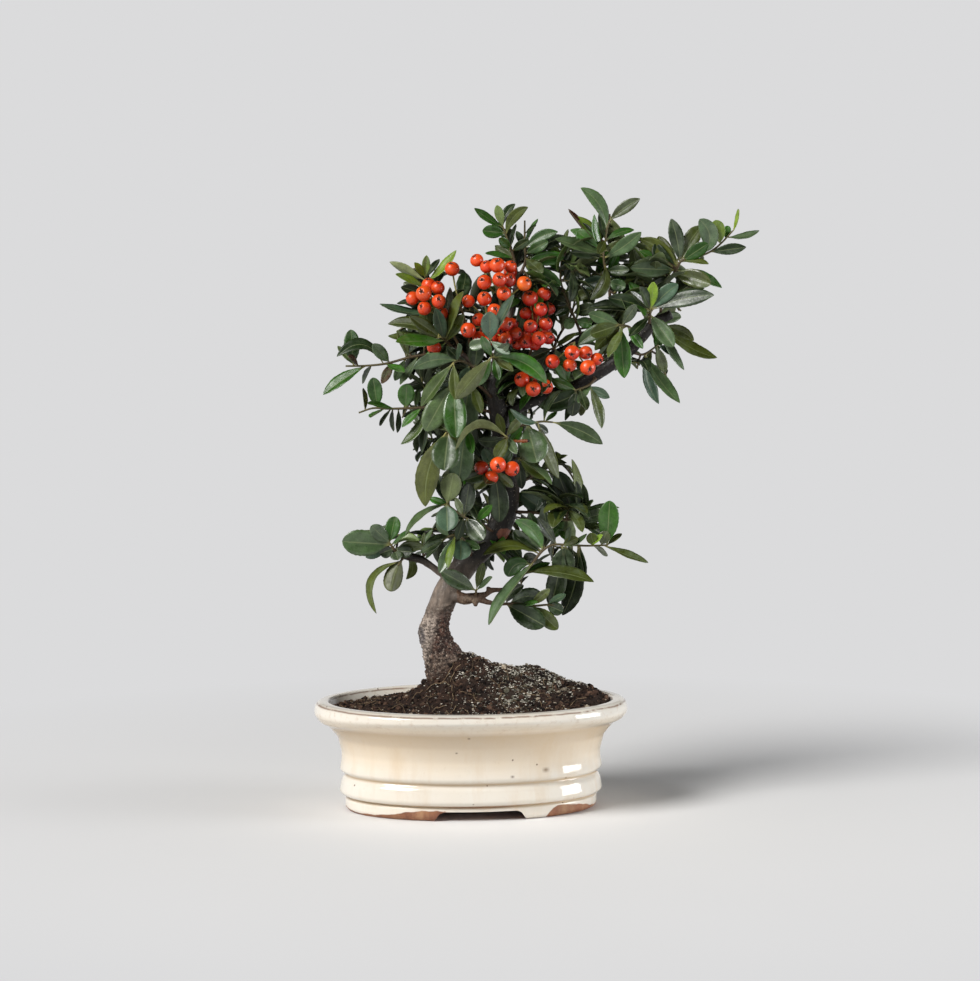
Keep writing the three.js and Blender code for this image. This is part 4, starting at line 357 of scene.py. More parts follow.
# The sprays behind, each as its name, its twig, how many leaves it has and their length
HIDDEN_SPRAYS = [
    ("spray_back_crown_left", [[2, 252, -2], [-8, 262, -14], [-14, 276, -24], [-16, 288, -27]], 9, 24),
    ("spray_back_crown_middle", [[24, 287, -5], [22, 296, -17], [24, 306, -26], [22, 318, -29]], 9, 25),
    ("spray_back_crown_right", [[46, 258, -9], [50, 268, -21], [57, 280, -29], [60, 293, -31]], 9, 26),
    ("spray_back_left", [[13, 229, -5], [0, 234, -18], [-14, 240, -28], [-24, 243, -32]], 9, 25),
    ("spray_back_heart", [[17, 212, -8], [14, 216, -22], [8, 223, -34], [4, 230, -40]], 9, 26),
    ("spray_back_right", [[50, 236, -9], [54, 236, -22], [60, 241, -32], [66, 248, -36]], 8, 26),
    ("spray_back_far_right", [[97, 270, -2], [100, 278, -14], [106, 287, -22], [112, 294, -25]], 8, 25),
    ("spray_back_trunk", [[20, 184, -11], [15, 187, -22], [7, 191, -32], [1, 197, -37]], 8, 26),
    ("spray_back_low", [[14, 158, -10], [12, 160, -22], [8, 164, -31], [2, 168, -36]], 8, 25),
    ("spray_right_depth", [[24, 183, -6], [33, 187, -14], [42, 192, -22], [50, 197, -26]], 8, 25),
]


# Seeded draws, the same as those of the solids
MASK = 0xFFFFFFFF


def seeded(seed):
    state = seed & MASK

    def draw():
        nonlocal state
        state = (state + 0x6D2B79F5) & MASK
        t = ((state ^ (state >> 15)) * (state | 1)) & MASK
        t ^= (t + (((t ^ (t >> 7)) * (t | 61)) & MASK)) & MASK
        return ((t ^ (t >> 14)) & MASK) / 4294967296

    return draw


def unit(v):
    return v / np.linalg.norm(v)


def blend(first, second, share):
    return first * (1 - share) + second * share


def ramp(value, start, end):
    """How far a value has come from start to end, from 0 to 1"""
    return min(1, max(0, (value - start) / (end - start)))


def colour(red, green, blue):
    """A screen colour from 0 to 255 as the linear colour that the shaders take"""
    c = np.array([red, green, blue]) / 255
    return np.where(c <= 0.04045, c / 12.92, ((c + 0.055) / 1.055) ** 2.4)


# The front viewpoint
viewer = np.array(
    [-VIEW_DISTANCE * math.sin(VIEW_ROUND), -VIEW_DISTANCE * math.cos(VIEW_ROUND), VIEW_HEIGHT]
)
toward_viewer = np.array([-math.sin(VIEW_ROUND), -math.cos(VIEW_ROUND), 0])
view_turn = VIEW_ROUND + math.atan(VIEW_MIDDLE[0] / VIEW_DISTANCE)
view_right = np.array([math.cos(view_turn), -math.sin(view_turn), 0])
level_ahead = np.array([math.sin(view_turn), math.cos(view_turn), 0])
view_ahead = level_ahead * math.cos(VIEW_DOWN) - np.array([0, 0, math.sin(VIEW_DOWN)])
view_up = np.cross(view_right, view_ahead)


def place(reading):
    """The place of a reading [across, up, near], measured from the pot's middle"""
    across, up, near = reading[:3]
    ray = view_ahead * VIEW_DISTANCE
    ray = ray + view_right * (across - VIEW_MIDDLE[0]) + view_up * (up - VIEW_MIDDLE[1])
    return viewer + ray * ((near - VIEW_DISTANCE) / (ray @ toward_viewer))


def across_up(point):
    """Where the front viewpoint sees a point, as [across, up]"""
    ray = point - viewer
    scale = VIEW_DISTANCE / (ray @ view_ahead)
    return ray @ view_right * scale + VIEW_MIDDLE[0], ray @ view_up * scale + VIEW_MIDDLE[1]


def turned(v, axis, angle):
    """A vector turned about an axis"""
    c, s = math.cos(angle), math.sin(angle)
    return v * c + np.cross(axis, v) * s + axis * (axis @ v) * (1 - c)


def curve_points(points, steps):
    """Places along a centripetal curve through points, and where each lies among them"""
    p = np.array(points, float)
    last = len(p) - 1
    ends = np.vstack([2 * p[0] - p[1], p, 2 * p[-1] - p[-2]])
    out, where = [], []
    for i in range(steps + 1):
        at = i / steps * last
        k = min(int(at), last - 1)
        w = at - k
        x0, x1, x2, x3 = ends[k : k + 4]
        d0, d1, d2 = (max(np.sum((b - a) ** 2) ** 0.25, 1e-4) for a, b in ((x0, x1), (x1, x2), (x2, x3)))
        t1 = ((x1 - x0) / d0 - (x2 - x0) / (d0 + d1) + (x2 - x1) / d1) * d1
        t2 = ((x2 - x1) / d1 - (x3 - x1) / (d1 + d2) + (x3 - x2) / d2) * d1
        out.append(x1 + t1 * w + (3 * (x2 - x1) - 2 * t1 - t2) * w**2 + (2 * (x1 - x2) + t1 + t2) * w**3)
        where.append(at)
    return np.array(out), np.array(where)


# Meshes. Their points are in millimetres from the pot's middle.
def mesh_of(name, points, faces):
    mesh = bpy.data.meshes.new(name)
    mesh.from_pydata(((np.asarray(points, float) - WHOLE_MIDDLE) * MM).tolist(), [], faces)
    return mesh


def points_of(mesh):
    values = np.empty(len(mesh.vertices) * 3)
    mesh.vertices.foreach_get("co", values)
    return values.reshape(-1, 3) / MM + WHOLE_MIDDLE


def add_layer(mesh, name, values):
    """A layer on a mesh's points, of colours or of numbers"""
    if np.ndim(values) == 2:
        layer = mesh.color_attributes.new(name=name, type="FLOAT_COLOR", domain="POINT")
        opaque = np.hstack([values, np.ones((len(values), 1))])
        layer.data.foreach_set("color", opaque.astype(np.float32).ravel())
    else:
        layer = mesh.attributes.new(name=name, type="FLOAT", domain="POINT")
        layer.data.foreach_set("value", np.asarray(values, np.float32))


def placed(name, data):
    """An object with that data, in the scene"""
    made = bpy.data.objects.new(name, data)
    bpy.context.scene.collection.objects.link(made)
    return made


class Shape:
    """Points, faces and point layers, gathered into one piece"""

    def __init__(self):
        self.points, self.faces, self.layers, self.count = [], [], {}, 0

    def add(self, points, faces, **layers):
        self.points.append(np.asarray(points, float))
        self.faces.append(np.asarray(faces, int) + self.count)
        for name, value in layers.items():
            value = np.asarray(value, float)
            if name == "tint" and value.ndim == 1:
                value = np.tile(value, (len(points), 1))
            elif value.ndim == 0:
                value = np.full(len(points), float(value))
            self.layers.setdefault(name, []).append(value)
        self.count += len(points)

    def piece(self, name, material, slot, node, smooth=True):
        """The finished piece, which takes the node's place"""
        mesh = mesh_of(name, np.vstack(self.points), [face for part in self.faces for face in part.tolist()])
        for layer, values in self.layers.items():
            add_layer(mesh, layer, np.concatenate(values))
        mesh.polygons.foreach_set("use_smooth", [smooth] * len(mesh.polygons))
        mesh.update()
        mesh.materials.append(material)
        piece = placed(name, mesh)
        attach(piece, "root")
        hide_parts(node)
        return piece


def quads(first, second, step):
    """Quads between pairs of points and the pairs that lie a step further on"""
    return np.stack([first, second, second + step, first + step], axis=1)


def grid_faces(rows, columns, closed):
    """Quads between rows of points; closed joins each row's last point to its first"""
    across = columns if closed else columns - 1
    row, col = np.meshgrid(np.arange(rows - 1), np.arange(across), indexing="ij")
    a = (row * columns + col).ravel()
    b = (row * columns + (col + 1) % columns).ravel()
    return quads(a, b, columns)


def frames_along(points):
    """Two directions square to a path at each of its points"""
    ahead = np.gradient(points, axis=0)
    ahead /= np.linalg.norm(ahead, axis=1)[:, None]
    side = np.array([1, 0.3, 0.2])
    sides = []
    for a in ahead:
        side = unit(side - a * (side @ a))
        sides.append(side)
    sides = np.array(sides)
    return sides, np.cross(ahead, sides)


def tube(points, radii, sides):
    """A round tube with closed ends, as points and faces"""
    points = np.asarray(points, float)
    side, other = frames_along(points)
    turn = np.arange(sides) * 2 * math.pi / sides
    ring = side[:, None] * np.cos(turn)[None, :, None] + other[:, None] * np.sin(turn)[None, :, None]
    skin = points[:, None] + ring * np.asarray(radii)[:, None, None]
    skin = np.concatenate([points[:1, None].repeat(sides, 1), skin, points[-1:, None].repeat(sides, 1)])
    return skin.reshape(-1, 3), grid_faces(len(skin), sides, True)


def settled(piece):
    """Makes a piece's modifiers its own mesh"""
    bpy.context.view_layer.update()
    made = bpy.data.meshes.new_from_object(piece.evaluated_get(bpy.context.evaluated_depsgraph_get()))
    piece.modifiers.clear()
    piece.data = made


# Material nodes
class Nodes:
    """A material's node tree with short calls"""

    def __init__(self, name):
        self.material = bpy.data.materials.new(name)
        self.material.use_nodes = True
        self.tree = self.material.node_tree
        self.shader = self.tree.nodes["Principled BSDF"]

    def node(self, kind, **settings):
        made = self.tree.nodes.new(kind)
        for key, value in settings.items():
            setattr(made, key, value)
        return made

    def fill(self, socket, value):
        """Links a socket to another, or gives it a number, numbers or a colour of its own"""
        if isinstance(value, bpy.types.NodeSocket):
            self.tree.links.new(value, socket)
        elif socket.type == "RGBA":
            socket.default_value = (*value, 1)
        else:
            socket.default_value = value

    def layer(self, name, output="Fac"):
        return self.node("ShaderNodeAttribute", attribute_name=name).outputs[output]

    def math(self, operation, a, b=0.0, clamp=False):
        made = self.node("ShaderNodeMath", operation=operation, use_clamp=clamp)
        self.fill(made.inputs[0], a)
        self.fill(made.inputs[1], b)
        return made.outputs[0]

    def plus(self, a, b, clamp=False):
        return self.math("ADD", a, b, clamp)

    def minus(self, a, b):
        return self.math("SUBTRACT", a, b)

    def times(self, a, b):
        return self.math("MULTIPLY", a, b)

    def mix(self, share, a, b, blend_type="MIX"):
        made = self.node("ShaderNodeMix", data_type="RGBA", blend_type=blend_type)
        self.fill(made.inputs["Factor"], share)
        colours = [s for s in made.inputs if s.type == "RGBA"]
        self.fill(colours[0], a)
        self.fill(colours[1], b)
        return [s for s in made.outputs if s.type == "RGBA"][0]

    def over(self, base, share, strength, tone):
        """A base with another colour laid over it where share is high"""
        return self.mix(self.times(share, strength), base, tone)

    def shaded(self, base, shade):
        """A base made darker or lighter by a number"""
        grey = self.node("ShaderNodeCombineColor")
        for socket in grey.inputs:
            self.fill(socket, shade)
        return self.mix(1.0, base, grey.outputs[0], "MULTIPLY")

    def noise(self, scale, detail=3.0, rough=0.5, stretch=None):
        made = self.node("ShaderNodeTexNoise")
        for key, value in (("Scale", scale), ("Detail", detail), ("Roughness", rough)):
            made.inputs[key].default_value = value
        self.fill(made.inputs["Vector"], self.coordinates(stretch))
        return made.outputs["Fac"]

    def cells(self, scale):
        made = self.node("ShaderNodeTexVoronoi")
        made.inputs["Scale"].default_value = scale
        self.fill(made.inputs["Vector"], self.coordinates())
        return made.outputs["Distance"]

    def coordinates(self, stretch=None):
        where = self.node("ShaderNodeTexCoord").outputs["Object"]
        if stretch is None:
            return where
        mapping = self.node("ShaderNodeMapping")
        mapping.inputs["Scale"].default_value = stretch
        self.fill(mapping.inputs["Vector"], where)
        return mapping.outputs["Vector"]

    def axes(self):
        made = self.node("ShaderNodeSeparateXYZ")
        self.fill(made.inputs[0], self.coordinates())
        return made.outputs

    def span(self, value, low, high, to_low=0.0, to_high=1.0):
        """A value from low to high, brought to the range from to_low to to_high"""
        made = self.node("ShaderNodeMapRange", clamp=True)
        for socket, number in zip(made.inputs, (value, low, high, to_low, to_high)):
            self.fill(socket, number)
        return made.outputs[0]

    def varied(self, scale, detail, low, high, rough=0.5):
        """A noise brought to the range from low to high"""
        return self.span(self.noise(scale, detail, rough), 0.3, 0.7, low, high)

    def near(self, value, centre, reach):
        """1 where a value is centre, and 0 from reach away"""
        return self.span(self.math("ABSOLUTE", self.minus(value, centre)), 0, reach, 1.0, 0.0)

    def bump(self, height, strength, distance):
        made = self.node("ShaderNodeBump")
        made.inputs["Strength"].default_value = strength
        made.inputs["Distance"].default_value = distance
        self.fill(made.inputs["Height"], height)
        self.fill(self.shader.inputs["Normal"], made.outputs["Normal"])

    def set(self, **values):
        for key, value in values.items():
            self.fill(self.shader.inputs[key.replace("_", " ")], value)


# How each leaf of note is coloured, by its tip as [across, up]. The others draw from COMMON_TONES.
TONES = {
    "dark": [
        (-28, 201.5), (-18, 312), (16, 162), (7, 152), (-1, 184), (38, 165), (52, 109), (42, 103),
        (41, 119), (57.5, 222.5), (51, 237), (138.5, 291.5), (114, 335), (156.8, 318.8), (105.5, 321),
        (73, 338), (25.2, 343.4), (45, 113), (52, 133), (57.5, 124), (30, 126), (4, 209), (24.5, 157.6),
        (-33.6, 145), (-41.6, 140.5), (52.4, 111), (49, 191), (60, 185.5), (39, 228), (-26, 150.5),
        (-29, 144.5), (-76.5, 256.4), (63.6, 184), (77.5, 151.5), (46.5, 184),
    ],
    "green": [
        (-36.6, 241), (79, 174.3), (70.3, 337.4), (56.4, 328.6), (146.5, 331), (-43.2, 165.3),
        (43, 241), (135, 320.8), (60.5, 328), (-8.5, 210), (-42.8, 264.8), (25, 163), (-68.5, 271.8),
        (-55.8, 244.5), (-84.3, 234.7), (87.3, 244.2),
    ],
    "grey": [
        (-56, 263.7), (-43.5, 242.7), (-40.5, 240.5), (-33, 249.5), (-26, 214), (-15.5, 191.5), (-7, 185),
        (-37.5, 155), (-18, 133), (-73.5, 151), (37.5, 196), (75, 206.5), (61, 230), (61, 263), (91, 307),
        (115.5, 262), (130, 334.6), (48, 323.5), (97, 327.4), (53.7, 272.5), (56.5, 159.5), (77, 167.5),
        (-57, 160), (119, 230), (-6, 211), (-17, 134), (62.5, 352.6), (10, 103.5), (33.6, 159.3),
    ],
    "blue": [(-20, 284), (-13.5, 157), (-6, 140.5), (22.5, 226.5), (10.8, 282.1), (118, 297.5)],
    "pale": [(-76, 262.5), (14.7, 342.7), (-9, 203), (-29.5, 151.5), (43, 174), (67.6, 302)],
    "olive": [
        (-4.5, 293.5), (-4, 280.7), (7, 143.5), (101, 139), (43, 187), (57.5, 198), (68, 269), (70.5, 260),
        (140.3, 255.8), (131.5, 330.8), (96.3, 346.4), (68, 289), (-54, 110), (49.5, 101), (70, 128),
        (7, 139), (135.4, 309.2), (74.5, 215.5), (127, 265.5), (110.5, 247.5), (50, 187), (97, 322.5),
        (96.3, 323.5), (107, 325), (-47.3, 275), (-47.3, 268.2), (61, 153), (68, 156), (77.5, 157),
        (-26, 171), (-45.5, 122.5), (-26.8, 147.4),
    ],
    "young": [
        (-43, 303.5), (-32.3, 310), (75, 155), (104, 299), (60, 336.4), (-13, 136), (139.5, 334.3),
        (-8.5, 317), (152.2, 340.6), (-25.4, 314.2),
    ],
    "under": [(-46.4, 310.4), (-28.5, 228), (-40, 206.5), (76.5, 161), (-9, 232), (-10, 190)],
    "rusty": [(-51, 241), (-70, 257), (55.6, 340.6)],
}
TONE_COLOURS = {
    # inner is painted shade, for leaves deep inside the crown
    "inner": (colour(18, 30, 10), colour(42, 52, 28)),
    "dark": (colour(26, 42, 14), colour(64, 76, 38)),
    "green": (colour(46, 88, 18), colour(78, 98, 42)),
    "grey": (colour(66, 86, 52), colour(90, 102, 62)),
    "blue": (colour(64, 86, 64), colour(88, 102, 72)),
    "pale": (colour(100, 116, 64), colour(106, 114, 68)),
    "olive": (colour(66, 76, 24), colour(84, 90, 42)),
    "young": (colour(104, 128, 34), colour(118, 128, 52)),
    "under": (colour(62, 78, 34), colour(94, 104, 58)),
    "rusty": (colour(64, 36, 24), colour(84, 64, 44)),
}
COMMON_TONES = ["dark", "dark", "green", "green", "grey", "green", "dark", "olive", "olive", "blue"]
tone_at = {tip: name for name, tips in TONES.items() for tip in tips}


# Leaves
OUTLINE_AT = [0, 0.05, 0.11, 0.2, 0.32, 0.46, 0.6, 0.74, 0.85, 0.93, 0.975, 1]
ROUND_OUTLINE = np.array([0.075, 0.08, 0.2, 0.5, 0.78, 0.95, 1, 0.96, 0.8, 0.56, 0.33, 0.06])
LONG_OUTLINE = np.array([0.09, 0.09, 0.17, 0.4, 0.7, 0.92, 1, 0.88, 0.62, 0.33, 0.15, 0.02])
LEAF_FOLD = 0.3
LEAF_THICK = 0.34
LEAF_BROADER = 1.1
TOOTH = 0.035
GROOVE = 0.16
WAVE = 0.035
PETIOLE = colour(150, 140, 84)


class LeafGrid:
    """The rows and columns of a leaf's two faces, and the faces that close its edges"""

    def __init__(self, rows, columns):
        self.rows, self.columns = rows, columns
        self.along = 1 - (1 - np.linspace(0, 1, rows)) ** 1.25
        self.across = np.linspace(-1, 1, columns)
        size = rows * columns
        top = grid_faces(rows, columns, False)
        left, near_end = np.arange(rows - 1) * columns, np.arange(columns - 1)
        right, far_end = left + columns - 1, near_end + (rows - 1) * columns
        edges = [
            quads(left, left + columns, size),
            quads(right, right + size, columns),
            quads(near_end, near_end + size, 1),
            quads(far_end + 1, far_end + 1 + size, -1),
        ]
        self.faces = np.vstack([top, top[:, ::-1] + size, *edges])


FINE_LEAF = LeafGrid(23, 7)
DEEP_LEAF = LeafGrid(13, 5)


def add_leaf(shape, grid, root, tip, bowed, face, width, tone, draw, arched=1.0):
    """One leaf with a toothed margin, a grooved rib, gentle waves and a paler underside"""
    stations, rows, columns = grid.along, grid.rows, grid.columns
    length = np.linalg.norm(tip - root)
    middle = (root + tip) / 2 + bowed
    control = 2 * middle - root / 2 - tip / 2
    s = stations[:, None]
    rib = root * (1 - s) ** 2 + control * 2 * s * (1 - s) + tip * s**2
    ahead = 2 * (1 - s) * (control - root) + 2 * s * (tip - control)
    ahead /= np.linalg.norm(ahead, axis=1)[:, None]
    up = face - ahead * (ahead @ face)[:, None]
    up /= np.linalg.norm(up, axis=1)[:, None]
    side = np.cross(ahead, up)
    arch = arched * (0.02 + 0.05 * draw()) * length
    rib = rib + up * (arch * np.sin(math.pi * stations) * stations)[:, None]
    rounder = min(1, max(0, (width / length - 0.24) / 0.2))
    outline = LONG_OUTLINE * (1 - rounder) + ROUND_OUTLINE * rounder
    half = np.interp(stations, OUTLINE_AT, outline) * width * LEAF_BROADER / 2
    tooth = 1 - TOOTH * (np.arange(rows) % 2) * (stations > 0.24) * (stations < 0.96)
    u = grid.across[None, :]
    reach = half[:, None] * u * np.where(np.abs(u) > 0.99, tooth[:, None], 1)
    wave_turn, waves = 2 * math.pi * draw(), 2 + 2 * draw()
    wave = WAVE * np.sin(waves * 2 * math.pi * s + wave_turn + 1.5 * np.sign(u)) * np.abs(u) ** 2
    fold = LEAF_FOLD * (0.7 + 0.9 * draw())
    curl = 0.18 * draw()
    lift = half[:, None] * (fold * np.abs(u) - curl * u**2 + wave)
    lift -= GROOVE * (1 - np.abs(u)) ** 6 * (half[:, None] > 0.9)
    top = rib[:, None] + side[:, None] * reach[:, :, None] + up[:, None] * lift[:, :, None]
    thick = LEAF_THICK * (0.45 + 0.55 * (1 - np.abs(u))) + 0.35 * (np.abs(u) < 0.01)
    thick = np.broadcast_to(thick, (rows, columns)) * np.where(stations > 0.97, 0.5, 1)[:, None]
    under = top - up[:, None] * thick[:, :, None]
    points = np.concatenate([top.reshape(-1, 3), under.reshape(-1, 3)])
    shade = 0.6 + 0.8 * draw()
    sheen = draw()
    warm = np.array([1 + 0.12 * (draw() - 0.5), 1, 1 + 0.2 * (draw() - 0.5)])
    count = rows * columns
    stalk = np.clip(1 - stations / 0.14, 0, 1).repeat(columns)[:, None]
    tints = [blend(face_tone * shade * warm, PETIOLE, stalk) for face_tone in TONE_COLOURS[tone]]
    shape.add(
        points,
        grid.faces,
        tint=np.vstack(tints),
        across=np.tile(np.broadcast_to(u, (rows, columns)).ravel(), 2),
        along=np.tile(stations.repeat(columns), 2) * length,
        under=np.repeat([0.0, 1.0], count),
        sheen=sheen,
    )


def nearest_on_path(path, across, up):
    best = None
    for (a0, u0, n0), (a1, u1, n1) in zip(path, path[1:]):
        run = (a1 - a0) ** 2 + (u1 - u0) ** 2
        t = min(1, max(0, ((across - a0) * (a1 - a0) + (up - u0) * (u1 - u0)) / run))
        spot = (a0 + t * (a1 - a0), u0 + t * (u1 - u0), n0 + t * (n1 - n0))
        away = math.hypot(across - spot[0], up - spot[1])
        if best is None or away < best[0]:
            best = (away, spot)
    return best[1]


def leaf_face(root, tip, seen_width, true_width, pick):
    along = unit(tip - root)
    sight = unit(viewer - root)
    if seen_width < 0:
        sight = -sight
    sight = unit(sight - along * (sight @ along))
    turn = math.acos(min(1, abs(seen_width) / true_width))
    one, two = turned(sight, along, turn), turned(sight, along, -turn)
    if abs(one[2] - two[2]) < 0.2:
        return one if pick < 0.5 else two
    return one if one[2] > two[2] else two


def laid_leaf(path, leaf, pick):
    base_across, base_up, tip_across, tip_up, seen_width, near = leaf[:6]
    bow = leaf[6] if len(leaf) > 6 else 0
    spot = nearest_on_path(path, base_across, base_up)
    root = place(spot)
    flat = math.hypot(tip_across - spot[0], tip_up - spot[1])
    bowed = view_right * (-bow * (tip_up - spot[1]) / flat) + view_up * (bow * (tip_across - spot[0]) / flat)

    def shape(bend):
        tip = place((tip_across, tip_up, spot[2] + near + bend))
        width = max(abs(seen_width), 0.24 * np.linalg.norm(tip - root) + 1)
        return tip, bowed, width, leaf_face(root, tip, seen_width, width, pick)

    return root, shape


GOLDEN_ANGLE = math.radians(137.5)


def turned_leaf(points, index, count, size, turn_start, draws):
    t = (0.22 + (0.76 * index) / (count - 1)) * (len(points) - 1)
    first = min(int(t), len(points) - 2)
    root = points[first] + (points[first + 1] - points[first]) * (t - first)
    along = unit(points[first + 1] - points[first])
    side = np.array([0.2, 0.3, 1.0])
    side = unit(side - along * (side @ along))

    def shape(bend):
        out = turned(side, along, turn_start + GOLDEN_ANGLE * index + bend * 0.05)
        heading = unit(out + along * (0.35 + 0.5 * draws[0]))
        heading = unit(heading + np.array([0, 0, 0.15 - 0.3 * draws[1]]))
        length = size * (0.8 + 0.35 * draws[2])
        tip = root + heading * length
        face = np.array([0, 0, 1.0]) - out * 0.3 + along * 0.3
        face = unit(face - heading * (face @ heading))
        return tip, face * (0.1 * length), 0.24 * length + 1.6, face

    return root, shape


def bend_of(shape, points):
    """The bend that the solid's rule took for a leaf, found by where the solid has its tip"""
    for bend in BENDS:
        tip = shape(bend)[0]
        if np.min(np.sum((points - tip) ** 2, axis=1)) < 0.05**2:
            return bend
    return 0


# The crown's outline as the front viewpoint sees it, in the picture's pixels. Added shoots stay within it.
CROWN = [
    (492, 240), (508, 224), (524, 238), (560, 242), (584, 232), (606, 218), (640, 240), (700, 252),
    (722, 262), (704, 276), (716, 288), (706, 300), (684, 312), (668, 324), (684, 338), (696, 346),
    (676, 356), (664, 370), (672, 388), (655, 380), (640, 374), (625, 372), (598, 378), (575, 386),
    (548, 394), (568, 396), (556, 406), (536, 420), (534, 444), (536, 456), (528, 468), (538, 480),
    (556, 488), (584, 492), (590, 504), (612, 514), (616, 528), (600, 540), (575, 548), (583, 566),
    (578, 586), (566, 600), (552, 590), (520, 588), (500, 574), (478, 576), (464, 580), (450, 574),
    (437, 564), (400, 552), (380, 547), (352, 541), (380, 532), (412, 530), (432, 520), (422, 505),
    (420, 490), (416, 478), (414, 455), (404, 440), (402, 430), (396, 416), (400, 402), (398, 384),
    (392, 370), (380, 356), (400, 346), (392, 334), (392, 320), (404, 310), (402, 295), (406, 283),
    (398, 272), (400, 265), (440, 264), (484, 268),
]
# The gap between its masses, where the background shows
CROWN_GAP = [(543, 346), (543, 330), (556, 322), (590, 320), (593, 332), (584, 346), (562, 352)]
POT_MIDDLE_PIXEL = (471, 806.5)
PIXEL = 0.57
SHOOTS = 120
SHOOT_NEAR = (-46, 4)


def inside(x, y, outline):
    """Whether a pixel lies inside an outline"""
    crossings = 0
    for (x0, y0), (x1, y1) in zip(outline, outline[1:] + outline[:1]):
        if (y0 > y) != (y1 > y) and x < x0 + (x1 - x0) * (y - y0) / (y1 - y0):
            crossings += 1
    return crossings % 2 == 1


def within(across, up):
    """Whether a reading lies inside the crown's outline and out of its gap"""
    x, y = POT_MIDDLE_PIXEL[0] + across / PIXEL, POT_MIDDLE_PIXEL[1] - up / PIXEL
    return inside(x, y, CROWN) and not inside(x, y, CROWN_GAP)


def inside_crown(root, tip, side, half):
    """Whether a leaf of that half width stays inside the crown's outline and depth"""
    for share, wide in ((0.35, 0.8), (0.6, 1), (0.85, 0.7), (1, 0)):
        for sign in (-1, 1):
            point = root + (tip - root) * share + side * (sign * half * wide)
            if abs(point[1]) > 61 or not within(*across_up(point)):
                return False
    return True


def added_shoots(paths):
    """Short leafy shoots that fill the crown, each as the path of its stem, by the spray it grows from"""
    draw = seeded(SHOOT_SEED)
    stations = [(name, point) for name, path in paths.items() for point in curve_points(path, 8)[0][1:]]
    spots = np.array([point for _, point in stations])
    shoots = {}
    made = 0
    while made < SHOOTS:
        across, up = -60 + 205 * draw(), 105 + 240 * draw()
        near = SHOOT_NEAR[0] + (SHOOT_NEAR[1] - SHOOT_NEAR[0]) * draw()
        if not within(across, up):
            continue
        target = place((across, up, near))
        away = np.linalg.norm(spots - target, axis=1)
        nearest = int(np.argmin(away))
        if not 7 < away[nearest] < 38:
            continue
        name, start = stations[nearest]
        middle = (start + target) / 2 + np.array([0, 0, 0.12 * away[nearest]])
        shoots.setdefault(name, []).append([start, middle, target])
        made += 1
    return shoots


TWIG_OLD = colour(76, 56, 40)
TWIG_YOUNG = colour(84, 78, 42)
SHOOT_RADIUS = 0.7
SHOOT_TIP_RADIUS = 0.45


def add_twig(shape, path, thick, thin):
    steps = 5 * (len(path) - 1)
    line, _ = curve_points(path, steps)
    share = np.linspace(0, 1, steps + 1)
    skin, faces = tube(line, thick + (thin - thick) * share, 8)
    mixed = np.clip(np.repeat(np.concatenate([[0], share, [1]]), 8), 0, 1)[:, None]
    shape.add(skin, faces, tint=blend(TWIG_OLD, TWIG_YOUNG, mixed))

DEEP_TONES = ["dark", "dark", "green", "dark", "olive", "green", "grey", "dark"]
# Leaves of added shoots deep inside the crown, this near and left of this, take the inner tone: painted
# shade
SHADED_INNER_NEAR = (-30, 6)
SHADED_INNER_RIGHT = 52
# How much of its length a hidden spray's leaf keeps where it would leave the crown
SHORTENED = 0.62


# How some leaves are seen, by tip: their width, their bow and where they leave the twig
SEEN = {
    (-8.5, 210): [12.5], (-6, 211): [15], (-26, 214): [12.5], (-7, 185): [13], (-26, 171): [12.5, -4],
    (-10, 190): [11], (-1, 184): [9], (-9, 232): [9], (-33, 249.5): [8], (-28.5, 228): [7],
    (-84.3, 234.7): [6, -0.8], (50, 187): [7, -1], (41, 274): [3], (60, 270): [3], (48, 280): [4],
    (131.5, 330.8): [8.5, 1.5], (96.3, 346.4): [6.5, 1], (60, 336.4): [6, -1], (105.5, 321): [8],
    (-47.3, 275): [7, -3], (-42.3, 271.4): [5, -1], (-60, 142): [6], (-73.5, 151): [14],
    (-45.5, 122.5): [10, -1.5, (-39.5, 141.5)], (-54, 110): [4, -10, (-40, 140)],
    (-37, 129.5): [5, 4, (-37, 143)], (70, 128): [7, 2.5], (10, 103.5): [5.4, -1], (45, 113): [11, 1],
    (52, 109): [11, 3], (140.3, 255.8): [6.5, -2.5], (121.5, 248.8): [4.5, -1], (119, 230): [7, -1.5],
    (74.5, 215.5): [5.5, 0.5], (57.5, 198): [5, -2], (101, 139): [4, -0.5], (62.5, 352.6): [7.2, -4],
    (138.5, 291.5): [9.4, 2], (143, 295.6): [5.5, 1.5], (164.2, 328.3): [3.5, -1.5], (156.8, 318.8): [6, 0],
    (1.9, 341): [4.5, 0.5], (38, 335): [2], (37, 331.6): [1.5], (25.6, 332): [2], (-46.4, 310.4): [5, 0.5],
    (8.1, 315.4): [3], (-26.5, 156): [2], (-22, 158): [2.5], (-35, 157): [2.5], (-62, 241): [2.5],
    (-52.1, 217): [1.6], (-58, 222): [1], (-44.2, 213.7): [2.5], (-42, 213): [3], (-40, 206.5): [5, 3.5],
    (79, 174.3): [11], (41, 119): [9, 2.5],
}
